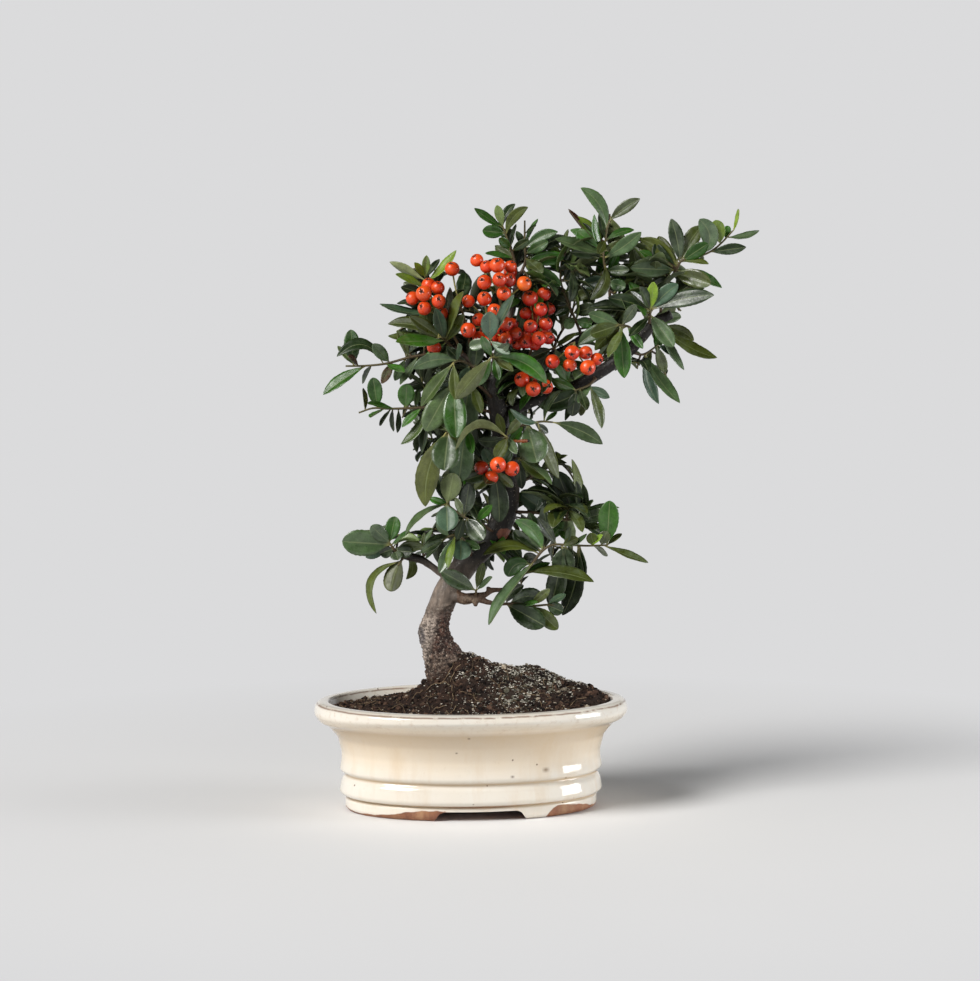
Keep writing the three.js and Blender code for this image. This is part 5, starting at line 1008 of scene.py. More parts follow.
# Leaves that the solids don't have, by spray
MORE_LEAVES = {
    "spray_top": [
        [75.6, 317.6, 55.6, 340.6, 2.4, -6, 1], [75.5, 316, 56.4, 328.6, 6, -3, -2],
        [75.5, 316, 63.5, 332.5, 7, -5, 1],
    ],
    "spray_top_middle_right": [[31, 311, 54, 325, 7, -4, 2]],
    "spray_left_crown": [[-24.6, 289, -40, 296, 6, 3, -1]],
    "spray_front_low": [[-12, 171, -19.5, 189, 7, -6]],
    "spray_right_olive": [[27, 198, 29, 181, 6, -4]],
    "spray_right_tip": [
        [117, 306, 97, 322.5, 9, -7, 3], [118, 308, 96.3, 323.5, 8, -6, -2],
        [119, 309.4, 107, 325, 8, -9, 2], [145, 323.6, 146.5, 331, 4, -4],
    ],
    "spray_left_heart": [[-17, 267.5, -47.3, 268.2, 5.5, -6, 1], [-14, 265, -12, 296, 6, 6, 1]],
    "spray_front_arch": [[20, 211, 4, 209, 6, -6, 2]],
    "spray_right_middle": [
        [40.5, 146, 24.5, 157.6, 8, -3, 2], [41, 146.6, 33.6, 159.3, 7, 3], [52, 149, 61, 153, 5, 4],
        [70, 149, 68, 156, 6, 3], [74, 149, 77.5, 157, 6, 2], [54, 149, 52, 133, 12.5, -6],
        [62, 149, 57.5, 124, 9, -14, 2], [58, 149, 47, 137, 8, -9, 2], [38, 143, 30, 141, 6, -4],
    ],
    "spray_right_low": [[20, 115.6, 30, 126, 6, 3, 2], [43, 114.8, 52.4, 111, 7, 1]],
    "spray_left_low": [
        [-43, 146, -33.6, 145, 7, 5], [-43, 146, -26.8, 147.4, 6, 4, 2], [-43, 146, -41.6, 140.5, 7, 6],
        [-44, 147, -52, 144, 7, 2],
    ],
    "spray_front_dark": [[13, 191, 8, 184, 8, 20], [13, 191, -4, 186, 7, 6]],
}


def as_seen(leaf):
    """A laid leaf with its seen width, bow and start"""
    width, *rest = SEEN.get((leaf[2], leaf[3]), [abs(leaf[4])])
    bow = rest[0] if rest else (leaf[6] if len(leaf) > 6 else 0)
    base = rest[1] if len(rest) > 1 else leaf[:2]
    return [*base, *leaf[2:4], math.copysign(width, leaf[4]), leaf[5], bow]


def draws_of(draw):
    return [draw(), draw(), draw()]


def one_of(choices, draw):
    return choices[int(draw() * len(choices))]


def add_shoot(leaves, twigs, shoot, looks):
    """A short leafy shoot, of the leaves that stay inside the crown"""
    turn_start, count, size = 2 * math.pi * looks(), 6 + int(3 * looks()), 18 + 9 * looks()
    kept = 0
    for index in range(count):
        root, shape = turned_leaf(shoot, index, count, size, turn_start, draws_of(looks))
        tip, bowed, width, face = shape(0)
        if inside_crown(root, tip, unit(np.cross(tip - root, face)), width / 2):
            tone = one_of(DEEP_TONES, looks)
            # painted shade: leaves deep inside the crown take the dark inner tone
            if SHADED_INNER_NEAR[0] < -tip[1] < SHADED_INNER_NEAR[1] and tip[0] < SHADED_INNER_RIGHT:
                tone = "inner"
            add_leaf(leaves, DEEP_LEAF, root, tip, bowed, face, width, tone, looks)
            kept += 1
    if kept:
        add_twig(twigs, shoot, SHOOT_RADIUS, SHOOT_TIP_RADIUS)


def build_sprays(leaf_material, twig_material):
    """Each spray's leaves and twig. A seen spray lists its leaves, a hidden one has a count and a size."""
    sprays = [(*spray, None) for spray in SPRAYS] + HIDDEN_SPRAYS
    shoots = added_shoots({name: [place(p) for p in twig] for name, twig, *_ in sprays})
    for order, (node, twig, listed, size) in enumerate(sprays):
        draw, looks = seeded(SPRAY_SEED + 17 * order), seeded(SPRAY_LOOKS_SEED + order)
        path = [place(p) for p in twig]
        turn_start = 2 * math.pi * draw()
        points = points_of(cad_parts[node].data)
        leaves, twigs = Shape(), Shape()
        for index in range(listed if size else len(listed)):
            draws = draws_of(draw)
            if size:
                root, shape = turned_leaf(path, index, listed, size, turn_start, draws)
                tone = one_of(COMMON_TONES, looks)
            else:
                leaf = listed[index]
                root, shape = laid_leaf(twig, as_seen(leaf), draws[0])
                tone = tone_at.get((leaf[2], leaf[3])) or one_of(COMMON_TONES, looks)
            tip, bowed, width, face = shape(bend_of(shape, points))
            if size and not within(*across_up(tip)):
                tip = root + (tip - root) * SHORTENED
            add_leaf(leaves, FINE_LEAF, root, tip, bowed, face, width, tone, looks, 1 if size else 0)
        for leaf in MORE_LEAVES.get(node, []):
            root, shape = laid_leaf(twig, leaf, looks())
            tip, bowed, width, face = shape(0)
            tone = tone_at.get((leaf[2], leaf[3]), "dark")
            add_leaf(leaves, FINE_LEAF, root, tip, bowed, face, width, tone, looks, 0)
        add_twig(twigs, path, TWIG_RADIUS, TWIG_TIP_RADIUS)
        for shoot in shoots.get(node, []):
            add_shoot(leaves, twigs, shoot, looks)
        leaves.piece("leaves_" + node[6:], leaf_material, "leaf", node)
        twigs.piece("twig_" + node[6:], twig_material, "bark", node)


# Berries
MORE_BERRIES = {
    "berries_middle_right": [
        [36.8, 278.2, 4, 4], [37.2, 286.6, 2, 4], [32.6, 268.6, 6, 3.9], [41.8, 270.8, 2, 4],
        [36.4, 263.4, 6, 3.8], [30.4, 275.6, 0, 3.8], [44.2, 283.6, 0, 3.8], [26.6, 264, 8, 3.7],
    ],
    "berries_middle_low": [
        [15.4, 271.2, 14, 3.9], [21.6, 268.2, 12, 3.8], [23.4, 274.8, 10, 3.7], [15.8, 264, 16, 3.7],
        [8.6, 271.6, 12, 3.8],
    ],
    "berries_middle_top": [[22.4, 304.6, 2, 4], [18, 297.8, 2, 3.9]],
    "berries_left_crown": [[-26.4, 293.2, 4, 4]],
}


STALK_OLD = colour(104, 84, 52)
STALK_YOUNG = colour(128, 124, 66)


def build_bunches(berry_material, stalk_material):
    for index, (node, stalk, laid) in enumerate(BUNCHES):
        draw, looks = seeded(BUNCH_SEED + index), seeded(BUNCH_LOOKS_SEED + index)
        path = [place(p) for p in stalk]
        fruit, stalks = Shape(), Shape()
        line, _ = curve_points(path, 10)
        skin, faces = tube(line, np.linspace(0.85, 0.6, 11), 8)
        stalks.add(skin, faces, tint=STALK_OLD)
        for k, (across, up, near, radius) in enumerate(laid + MORE_BERRIES.get(node, [])):
            centre = place((across, up, near))
            hub = blend(path[-1], path[-2], 0.9 * min(k, len(laid)) / len(laid))
            facing = unit(centre - hub)
            facing = facing + toward_viewer * (0.35 + 0.5 * draw())
            facing[2] += 0.3 * draw()
            facing = unit(facing)
            tone = berry_tone(across, up, looks)
            add_berry(fruit, centre, radius, facing, tone, looks)
            foot = centre - facing * radius * 0.93
            bent = (hub + foot) / 2 - facing * 1.2 + np.array([0, 0, -0.8])
            line, _ = curve_points([hub, bent, foot], 8)
            skin, faces = tube(line, np.linspace(0.42, 0.55, 9), 6)
            stalks.add(skin, faces, tint=STALK_YOUNG)
        fruit.piece("fruit_" + node[8:], berry_material, "berry", node)
        stalks.piece("stalks_" + node[8:], stalk_material, "bark", node)


DEEP_BERRIES = [(6, 193), (21.8, 300), (19.4, 266), (25.6, 269.6), (19.8, 275)]
YELLOW_BERRIES = [(30.2, 298)]
BERRY_SHADES = {
    "right": (colour(176, 24, 18), colour(200, 42, 26)),
    "behind": (colour(172, 28, 12), colour(206, 44, 14)),
    "deep": (colour(150, 26, 12), colour(150, 26, 12)),
    "yellow": (colour(236, 110, 30), colour(236, 110, 30)),
    "common": (colour(206, 44, 14), colour(232, 78, 22)),
}
# Painted light and shade on the berries: orange toward the light, deep red away from it, along this way
BERRY_PAINTED_LIGHT = colour(238, 104, 34)
BERRY_PAINTED_SHADE = colour(140, 18, 10)
LIT_SIDE_WAY = unit(np.array([-0.5, -0.35, 0.8]))
BERRY_ROUND = 30
BERRY_RINGS = 20
PIT_RINGS = 11
PIT_END = 0.62
PIT_DEPTH = 0.22
RIM_HEIGHT = 0.05
FLAT = 0.94
RIGHT_BERRIES = (31, 262)


def berry_tone(across, up, looks):
    if across > RIGHT_BERRIES[0] and up > RIGHT_BERRIES[1]:
        shade = "right"
    elif any([across, up] == extra[:2] for extras in MORE_BERRIES.values() for extra in extras):
        shade = "behind"
    elif (across, up) in DEEP_BERRIES:
        shade = "deep"
    else:
        shade = "yellow" if (across, up) in YELLOW_BERRIES else "common"
    return blend(*BERRY_SHADES[shade], looks())


def add_berry(shape, centre, radius, facing, tone, looks):
    """A round berry, a little flat at its ends, with the star of its dried flower in a pit"""
    side = unit(np.cross(facing, np.array([0.31, 0.87, 0.2])))
    other = np.cross(facing, side)
    # rings crowd round the pit, at the start
    coarse = np.linspace(PIT_END + 0.1, math.pi, BERRY_RINGS - PIT_RINGS)
    polar = np.concatenate([np.linspace(0, PIT_END, PIT_RINGS), coarse])
    turn = np.arange(BERRY_ROUND) * 2 * math.pi / BERRY_ROUND + 6.28 * looks()
    p, t = polar[:, None], turn[None, :]
    star = (0.5 + 0.5 * np.cos(5 * t)) * (0.75 + 0.35 * np.sin(2 * t + 6 * looks()))
    star = star + 0.12 * np.sin(9 * t + 6 * looks())
    pit = PIT_DEPTH * np.exp(-((p / 0.2) ** 2))
    rim = RIM_HEIGHT * np.exp(-(((p - 0.36) / 0.12) ** 2)) * (0.35 + 0.65 * star)
    lumpy = 0.012 * np.sin(3 * t + 4 * looks()) * np.sin(p) + 0.01 * np.sin(2 * p + 5 * looks())
    out = 1 - pit + rim + lumpy
    ball = (
        facing * (np.cos(p) * out * FLAT)[:, :, None]
        + side * (np.sin(p) * np.cos(t) * out)[:, :, None]
        + other * (np.sin(p) * np.sin(t) * out)[:, :, None]
    ).reshape(-1, 3)
    calyx = np.clip((0.22 + 0.28 * star - p) / 0.09, 0, 1)
    shade = 0.8 + 0.22 * looks()
    # painted light and shade: the upper left side, toward the light, is tinted orange, the lower right side
    # deep red
    light_facing = (ball @ LIT_SIDE_WAY)[:, None]
    tint = blend(tone * shade, BERRY_PAINTED_LIGHT, 0.5 * np.clip(light_facing, 0, 1))
    tint = blend(tint, BERRY_PAINTED_SHADE, 0.75 * np.clip(-light_facing, 0, 1))
    faces = grid_faces(BERRY_RINGS, BERRY_ROUND, True)
    shape.add(centre + radius * ball, faces, tint=tint, calyx=calyx.ravel())


# Pot
POT_SEGMENTS = 200
DRAIN_SEGMENTS = 40
HALF_LENGTH_LESS_HALF_WIDTH = (POT_LENGTH - POT_WIDTH) / 2
UNDER_PROFILE = [[59.5, 6], [61, 0]]
# The outer skin as it is seen, a little fuller than the solid's
POT_SKIN = [
    [70.8, 0], [72.8, 2], [72.8, 7.2], [71.3, 8.2], [74.6, 9.2], [76.2, 11.2], [74.9, 18], [72.5, 21.1],
    [76.1, 23.5], [75, 29.5], [75, 34], [77.2, 42.5], [83, 50.6], [87.8, 53.2], [90.8, 56.8], [90, 61.2],
    [87.6, 62.9],
]
LIP_INSIDE = [[82.6, 63.1], [81.8, 61.6], [79, 56.5]]
CORNER_RADIUS = 1.5
CORNER_STEPS = 5
LIP_MIDDLE, LIP_REACH = 53, 9
# How far the lip's lower edge lies higher at the front and back, and lower at the ends
LIP_RAISED, LIP_LOWERED = 2.9, 1.6
SHARP_EDGE = 35


def lip_lift(ring):
    share = max(0, 1 - abs(ring[0, 2] - LIP_MIDDLE) / LIP_REACH)
    turn = np.arctan2(ring[:, 1], ring[:, 0])
    lift = LIP_RAISED * np.abs(np.sin(turn)) ** 1.5 - LIP_LOWERED * np.abs(np.cos(turn)) ** 6
    ring[:, 2] += share * lift
    return ring


def rounded(profile, radius):
    """A profile with its corners rounded off"""
    points = np.array(profile, float)
    out = [points[0]]
    for before, at, after in zip(points, points[1:], points[2:]):
        back, on = before - at, after - at
        reach = min(radius, 0.45 * np.linalg.norm(back), 0.45 * np.linalg.norm(on))
        start, end = at + unit(back) * reach, at + unit(on) * reach
        for t in np.linspace(0, 1, CORNER_STEPS):
            out.append(start * (1 - t) ** 2 + at * 2 * t * (1 - t) + end * t**2)
    out.append(points[-1])
    return np.array(out)


def oval_ring(half, height, segments):
    turn = np.arange(segments) * 2 * math.pi / segments
    wide = half - HALF_LENGTH_LESS_HALF_WIDTH
    return np.stack([half * np.cos(turn), wide * np.sin(turn), np.full(segments, height)], axis=1)


def shrunk(ring, share):
    return ring * np.array([share, share, 1])


def cutter(start, end):
    """A solid between two outlines of as many points"""
    count = len(start)
    first = np.arange(count)
    sides = quads(first, (first + 1) % count, count).tolist()
    faces = [list(range(count))[::-1], list(range(count, 2 * count)), *sides]
    return placed("cutter", mesh_of("cutter", [*start, *end], faces))


def notch_cutter():
    """The notch under the pot, as wide at its top as the feet leave it"""
    half, top = NOTCH_WIDTH / 2, FLOOR_BOTTOM - 0.4
    flank = half - NOTCH_SLANT
    section = [(-half - 1.2, -2), (-half + 0.4, 0.6), (-flank - 1, top - 1.2), (-flank + 1.6, top)]
    section += [(-x, z) for x, z in reversed(section)]
    return cutter([(x, -POT_WIDTH, z) for x, z in section], [(x, POT_WIDTH, z) for x, z in section])


def drain_cutter(middle):
    turn = np.arange(DRAIN_SEGMENTS) * 2 * math.pi / DRAIN_SEGMENTS
    ring = [(middle + DRAIN_RADIUS * math.cos(t), DRAIN_RADIUS * math.sin(t)) for t in turn]
    return cutter([(x, y, -2) for x, y in ring], [(x, y, 16) for x, y in ring])


def cut_away(piece, cutters):
    """Cuts the cutters' shapes out of a piece and removes them"""
    for tool in cutters:
        change = piece.modifiers.new("cut", "BOOLEAN")
        change.operation = "DIFFERENCE"
        change.solver = "EXACT"
        change.object = tool
    settled(piece)
    for tool in cutters:
        bpy.data.objects.remove(tool)


def edit(mesh, change):
    """Makes a change to a mesh by its edges and faces"""
    shape = bmesh.new()
    shape.from_mesh(mesh)
    change(shape)
    shape.to_mesh(mesh)
    shape.free()


def close_ends(shape):
    shape.verts.ensure_lookup_table()
    for ring in (range(POT_SEGMENTS), reversed(range(len(shape.verts) - POT_SEGMENTS, len(shape.verts)))):
        shape.faces.new([shape.verts[k] for k in ring])
    bmesh.ops.recalc_face_normals(shape, faces=shape.faces)


def sharpen(shape):
    for edge in shape.edges:
        if len(edge.link_faces) == 2 and edge.calc_face_angle(0) > math.radians(SHARP_EDGE):
            edge.smooth = False


def build_pot(material):
    outer = rounded([[61.4, 0], *POT_SKIN, *LIP_INSIDE], CORNER_RADIUS)
    inner = CAVITY_PROFILE[-3::-1]
    rings = [lip_lift(oval_ring(h, z, POT_SEGMENTS)) for h, z in [*UNDER_PROFILE, *outer]]
    rings += [oval_ring(h, z, POT_SEGMENTS) for h, z in inner]
    under = [shrunk(rings[0], share) for share in (0.01, 0.6)]
    floor = [shrunk(rings[-1], share) for share in (0.6, 0.01)]
    rings = [*under, *rings, *floor]
    shape = Shape()
    shape.add(np.vstack(rings), grid_faces(len(rings), POT_SEGMENTS, True)[:, ::-1])
    pot = shape.piece("pot_body", material, "glazed_clay", "pot")
    edit(pot.data, close_ends)
    cut_away(pot, [notch_cutter(), drain_cutter(-DRAIN_OFFSET), drain_cutter(DRAIN_OFFSET)])
    heights = [bare_line(x, y) for x, y, _ in points_of(pot.data)]
    add_layer(pot.data, "bare_line", heights)
    edit(pot.data, sharpen)


# How high the glaze ends over the feet, in millimetres, by how far along the pot: at the front and the back
BARE_FRONT = [(-90, 1), (-66, 1.3), (-58, 1.8), (-52, 2.6), (-41, 4.9), (-30, 6.2), (-20, 6.2), (-17, 2)]
BARE_FRONT += [(15, -1), (37, -1), (40, 3.4), (44, 6.2), (51, 6.4), (59, 5.4), (65, 3.8), (70, 1.6), (90, 1)]
BARE_BACK = [(-90, 3.2), (-60, 5.4), (-42, 6.2), (-36, 1), (-22, 0.5), (-14, 4.8), (14, 5.2), (40, 5.6)]
BARE_BACK += [(60, 6.8), (90, 7.9)]
BARE_BLEND = 18


def bare_line(x, y):
    front, back = (np.interp(x, *zip(*line)) for line in (BARE_FRONT, BARE_BACK))
    return float(blend(front, back, ramp(y, -BARE_BLEND, BARE_BLEND)))


# Soil
SOIL_PROFILE = [[57, 11.3], [66.1, 15.3], [67.2, 40], [71.5, 48]]
SOIL_RINGS = 60
SOIL_SEGMENTS = 240
SOIL_LEVEL = 59.7
MOUND_DEPTH = 19
# Smaller heaps, each as its height, its middle [x, y] and its reach along x and y
HEAPS = [(7, 38, 8, 20, 14), (8, 42, 19, 12, 9), (6, -8, -3, 10, 9), (5.6, 67, 0, 8.5, 15)]
# Patches of lichen as the front viewpoint sees them: middle [across, up], width and height
LICHEN = [(20, 75.5, 27, 6), (24, 63, 14, 9), (44, 70, 18, 8)]
EARTH = [colour(58, 41, 32), colour(25, 17, 14), colour(82, 62, 50), colour(44, 32, 26)]
MOSSY = [colour(196, 190, 176), colour(112, 108, 92), colour(226, 222, 210)]
GRIT = colour(168, 156, 138)
FIBRE = colour(132, 112, 88)
CRUMBS = 4700
FLECKS = 4200
FIBRES = 170


def bell(x, y, reach_x, reach_y):
    return math.exp(-(x**2) / (2 * reach_x**2) - y**2 / (2 * reach_y**2))


def soil_height(x, y, wall):
    """The soil's height, where wall is how far out a place is, from 0 to 1"""
    height = SOIL_LEVEL + 0.9 * (1 - wall**4) + SOIL_RISE * bell(x + 4, y, 27 if x > -4 else 19, MOUND_DEPTH)
    if y > 0 and x < 0:
        height -= 2 * min(1, y / 30) * min(1, -x / 30) * wall
    return height + sum(high * bell(x - at_x, y - at_y, *reach) for high, at_x, at_y, *reach in HEAPS)


def rough(x, y, z, size, octaves=4):
    """A fractal noise of about -1 to 1"""
    return noise.fractal(Vector((x / size, y / size, z / size)), 0.9, 2.1, octaves)


def soil_place(share, turn):
    x = SOIL_EDGE * share * math.cos(turn)
    y = (SOIL_EDGE - HALF_LENGTH_LESS_HALF_WIDTH) * share * math.sin(turn)
    return x, y, soil_height(x, y, share)


def lichen_at(point):
    across, up = across_up(np.array(point))
    away = min(math.hypot((across - a) / wide, (up - u) / tall) for a, u, wide, tall in LICHEN)
    return max(0, min(1, 1.3 - away + 0.45 * rough(*point, 9)))


def clods(x, y):
    return 1.5 * rough(x, y, 0, 8.5) + 0.9 * rough(x, y, 7, 3.2)


def build_mound(material):
    points = [oval_ring(half, height, SOIL_SEGMENTS) for half, height in SOIL_PROFILE]
    tints = [np.tile(EARTH[1], (SOIL_SEGMENTS, 1)) for _ in SOIL_PROFILE]
    for share in 1 - np.linspace(0, 0.995, SOIL_RINGS):
        ring, shades = [], []
        for k in range(SOIL_SEGMENTS):
            x, y, z = soil_place(share, 2 * math.pi * k / SOIL_SEGMENTS)
            calm = min(1, (1 - share) * 12 + 0.25)
            ring.append((x, y, z + clods(x, y) * calm))
            shade = blend(EARTH[1], EARTH[0], 0.5 + 0.5 * rough(x, y, 20, 7))
            shades.append(blend(shade, MOSSY[1], lichen_at((x, y, z)) * 0.06))
        points.append(np.array(ring))
        tints.append(np.array(shades))
    shape = Shape()
    shape.add(np.vstack(points), grid_faces(len(points), SOIL_SEGMENTS, True), tint=np.vstack(tints))
    foot = oval_ring(*SOIL_PROFILE[0], SOIL_SEGMENTS)
    rings = [foot, shrunk(foot, 0.5), shrunk(foot, 0.01)]
    shape.add(np.vstack(rings), grid_faces(len(rings), SOIL_SEGMENTS, True)[:, ::-1], tint=EARTH[1])
    shape.piece("soil_mound", material, "potting_soil", "soil")


def build_crumbs(material, draw):
    """Crumbs of soil, and pale flecks where the lichen grows"""
    crumbs = Shape()
    ball = bmesh.new()
    bmesh.ops.create_icosphere(ball, subdivisions=1, radius=1)
    corners = np.array([v.co[:] for v in ball.verts])
    sides = np.array([[v.index for v in f.verts] for f in ball.faces])
    ball.free()
    for _ in range(CRUMBS):
        share = math.sqrt(draw()) * 0.985
        x, y, z = soil_place(share, 2 * math.pi * draw())
        size = 0.42 + 1.25 * draw() ** 4
        stretch = np.array([0.8 + 0.6 * draw(), 0.8 + 0.6 * draw(), 0.6 + 0.5 * draw()])
        bumps = np.array([0.75 + 0.5 * draw() for _ in corners])[:, None]
        centre = np.array([x, y, z + clods(x, y) + size * 0.25])
        tint = one_of(EARTH, draw) * (0.7 + 0.7 * draw())
        pick = draw()
        if lichen_at((x, y, z)) > 0.7 + 0.6 * pick:
            tint = MOSSY[1] * (0.3 + 0.5 * draw())
        elif pick > 0.975:
            tint = GRIT
        crumbs.add(centre + corners * bumps * stretch * size, sides, tint=tint)
    made = 0
    while made < FLECKS:
        share = math.sqrt(draw()) * 0.97
        x, y, z = soil_place(share, 2 * math.pi * draw())
        pale = max(lichen_at((x, y, z)), 0.22 * math.exp(-((x - 8) ** 2) / (2 * 30**2)))
        if pale < 0.05 + 0.95 * draw() or rough(x, y, 3, 2.2) < -0.1 + 0.4 * draw():
            continue
        made += 1
        size = 0.18 + 0.42 * draw() ** 3
        centre = np.array([x, y, z + clods(x, y) + 0.4 + 0.7 * draw()])
        flat = np.array([0.8 + 0.8 * draw(), 0.8 + 0.8 * draw(), 0.6])
        crumbs.add(centre + corners * flat * size, sides, tint=one_of(MOSSY, draw) * (0.8 + 0.4 * draw()))
    crumbs.piece("soil_crumbs", material, "potting_soil", "soil", smooth=False)


def build_fibres(material, draw):
    fibres = Shape()
    for _ in range(FIBRES):
        share = math.sqrt(draw()) * 0.95
        x, y, z = soil_place(share, 2 * math.pi * draw())
        way, bend = 2 * math.pi * draw(), 2.5 * (draw() - 0.5)
        length = 4 + 11 * draw()
        line = []
        for t in np.linspace(0, 1, 6):
            px = x + length * t * math.cos(way + bend * t)
            py = y + length * t * math.sin(way + bend * t)
            wall = math.hypot(px / SOIL_EDGE, py / (SOIL_EDGE - HALF_LENGTH_LESS_HALF_WIDTH))
            if wall > 0.96:
                break
            arch = 1.6 * math.sin(math.pi * t) * draw()
            line.append((px, py, soil_height(px, py, wall) + clods(px, py) + 0.5 + arch))
        if len(line) < 4:
            continue
        thick = 0.1 + 0.13 * draw()
        skin, faces = tube(np.array(line), np.full(len(line), thick), 5)
        fibres.add(skin, faces, tint=FIBRE * (0.3 + 0.9 * draw()))
    fibres.piece("soil_fibres", material, "potting_soil", "soil")


def build_soil(mound_material, loose_material):
    build_mound(mound_material)
    draw = seeded(CRUMB_SEED)
    build_crumbs(loose_material, draw)
    build_fibres(loose_material, draw)


# Trunk and branches
WOOD_CELL = 0.62
TRUNK_STEPS = 90
TRUNK_SIDES = 20
BRANCH_SIDES = 12
LIP_STEPS = 16
LIP_SIDES = 8
# Below this height, at the left, the bark turns rugged over so many millimetres
RUGGED_UP, RUGGED_BLEND = 117, 12
# Wrinkles of the old bark: their heights, how far apart and how deep they are
WRINKLED_LOW, WRINKLED_HIGH, WRINKLE_GAP, WRINKLE_DEPTH = 86, 113, 2.7, 0.22


def wood_skin():
    """The trunk, its branches and the peeled lip as round tubes that run into each other"""
    shape = Shape()
    tubes = [(TRUNK, TRUNK_STEPS, TRUNK_SIDES)]
    tubes += [(places, steps * 4, BRANCH_SIDES) for steps, places in BRANCHES]
    for places, steps, sides in [*tubes, (BARK_LIP, LIP_STEPS, LIP_SIDES)]:
        line, where = curve_points([place(p) for p in places], steps)
        radii = np.interp(where, np.arange(len(places)), [p[3] for p in places])
        shape.add(*tube(line, radii, sides))
    return shape


def build_wood(material):
    wood = wood_skin().piece("trunk_wood", material, "bark", "trunk")
    change = wood.modifiers.new("skin", "REMESH")
    change.mode = "VOXEL"
    change.voxel_size = WOOD_CELL * MM
    smooth = wood.modifiers.new("smooth", "SMOOTH")
    smooth.factor = 0.5
    smooth.iterations = 4
    settled(wood)
    mesh = wood.data
    points, count = points_of(mesh), len(mesh.vertices)
    normals = np.empty(count * 3)
    mesh.vertices.foreach_get("normal", normals)
    normals = normals.reshape(-1, 3)
    tints, rugged = np.empty((count, 3)), np.empty(count)
    for k, (x, y, z) in enumerate(points):
        across, up = across_up(points[k])
        low = ramp(up, RUGGED_UP, RUGGED_UP - RUGGED_BLEND) if across < 0 else 0
        lumps = rough(x, y, z * 0.45, 9)
        fine = rough(x, y, z, 1.9, 3)
        plates = rough(x * 0.75, y * 0.75, z * 1.8, 2.3, 5) if low else 0
        streaks = rough(x * 1.5, y * 1.5, z * 0.35, 3.4)
        lift = 0.3 * lumps + 0.1 * streaks + 0.06 * fine + low * (0.8 * plates + 0.35 * fine + 0.5 * lumps)
        if low and WRINKLED_LOW < up < WRINKLED_HIGH:
            wrinkle = math.sin(2 * math.pi * (up + 1.6 * lumps + 0.3 * across) / WRINKLE_GAP)
            lift += WRINKLE_DEPTH * wrinkle * ramp(across, -24, -18)
        points[k] += normals[k] * lift
        tints[k] = wood_tint(across, up, -y, low, lumps, streaks, plates, fine)
        rugged[k] = low
    mesh.vertices.foreach_set("co", ((points - WHOLE_MIDDLE) * MM).ravel())
    add_layer(mesh, "tint", np.clip(tints, 0, 1))
    add_layer(mesh, "rugged", rugged)
    mesh.polygons.foreach_set("use_smooth", [True] * len(mesh.polygons))
    mesh.update()


SMOOTH_BARK, LIT_BARK, DARK_BARK = colour(116, 103, 92), colour(118, 104, 92), colour(34, 30, 28)
PIT, FLAKE = colour(38, 26, 21), colour(136, 118, 104)
RED_BROWN, WHITISH, FOOT_BROWN = colour(92, 58, 46), colour(186, 172, 160), colour(68, 48, 38)
BLUE_GREY_TONE, SCAR_TONE, BARE_TONE = colour(62, 62, 70), colour(122, 74, 56), colour(176, 158, 118)
STUB_TONE, ARM_TONE, GNARL_TONE = colour(118, 62, 32), colour(84, 62, 46), colour(88, 68, 54)
WORN_TONE = colour(176, 154, 130)
# Round spots as the front viewpoint sees them: middle [across, up], width and height
# a dark blue-grey patch on the rugged bark at its left edge
BLUE_GREY_PATCH = (-29, 97, 3.4, 6.5)
SCAR = (19, 155, 4.2, 3.6)
WORN = (-1, 117.5, 6, 3)
# Stretches as the front viewpoint sees them: from and to across, from and to up
BARE_PATCH = (53, 64, 160, 180)
STUB = (19, 36, 206, 211)
STUB_PEELED_TO, STUB_NEAR = 32, 6
ARM = (14, math.inf, -math.inf, 130)
GNARL = (-8, math.inf, 108, 128)
CUT_END = (111, math.inf, 270, 292)


def reach_of(spot, across, up):
    return math.hypot((across - spot[0]) / spot[2], (up - spot[1]) / spot[3])


def lies_in(stretch, across, up):
    return stretch[0] < across < stretch[1] and stretch[2] < up < stretch[3]


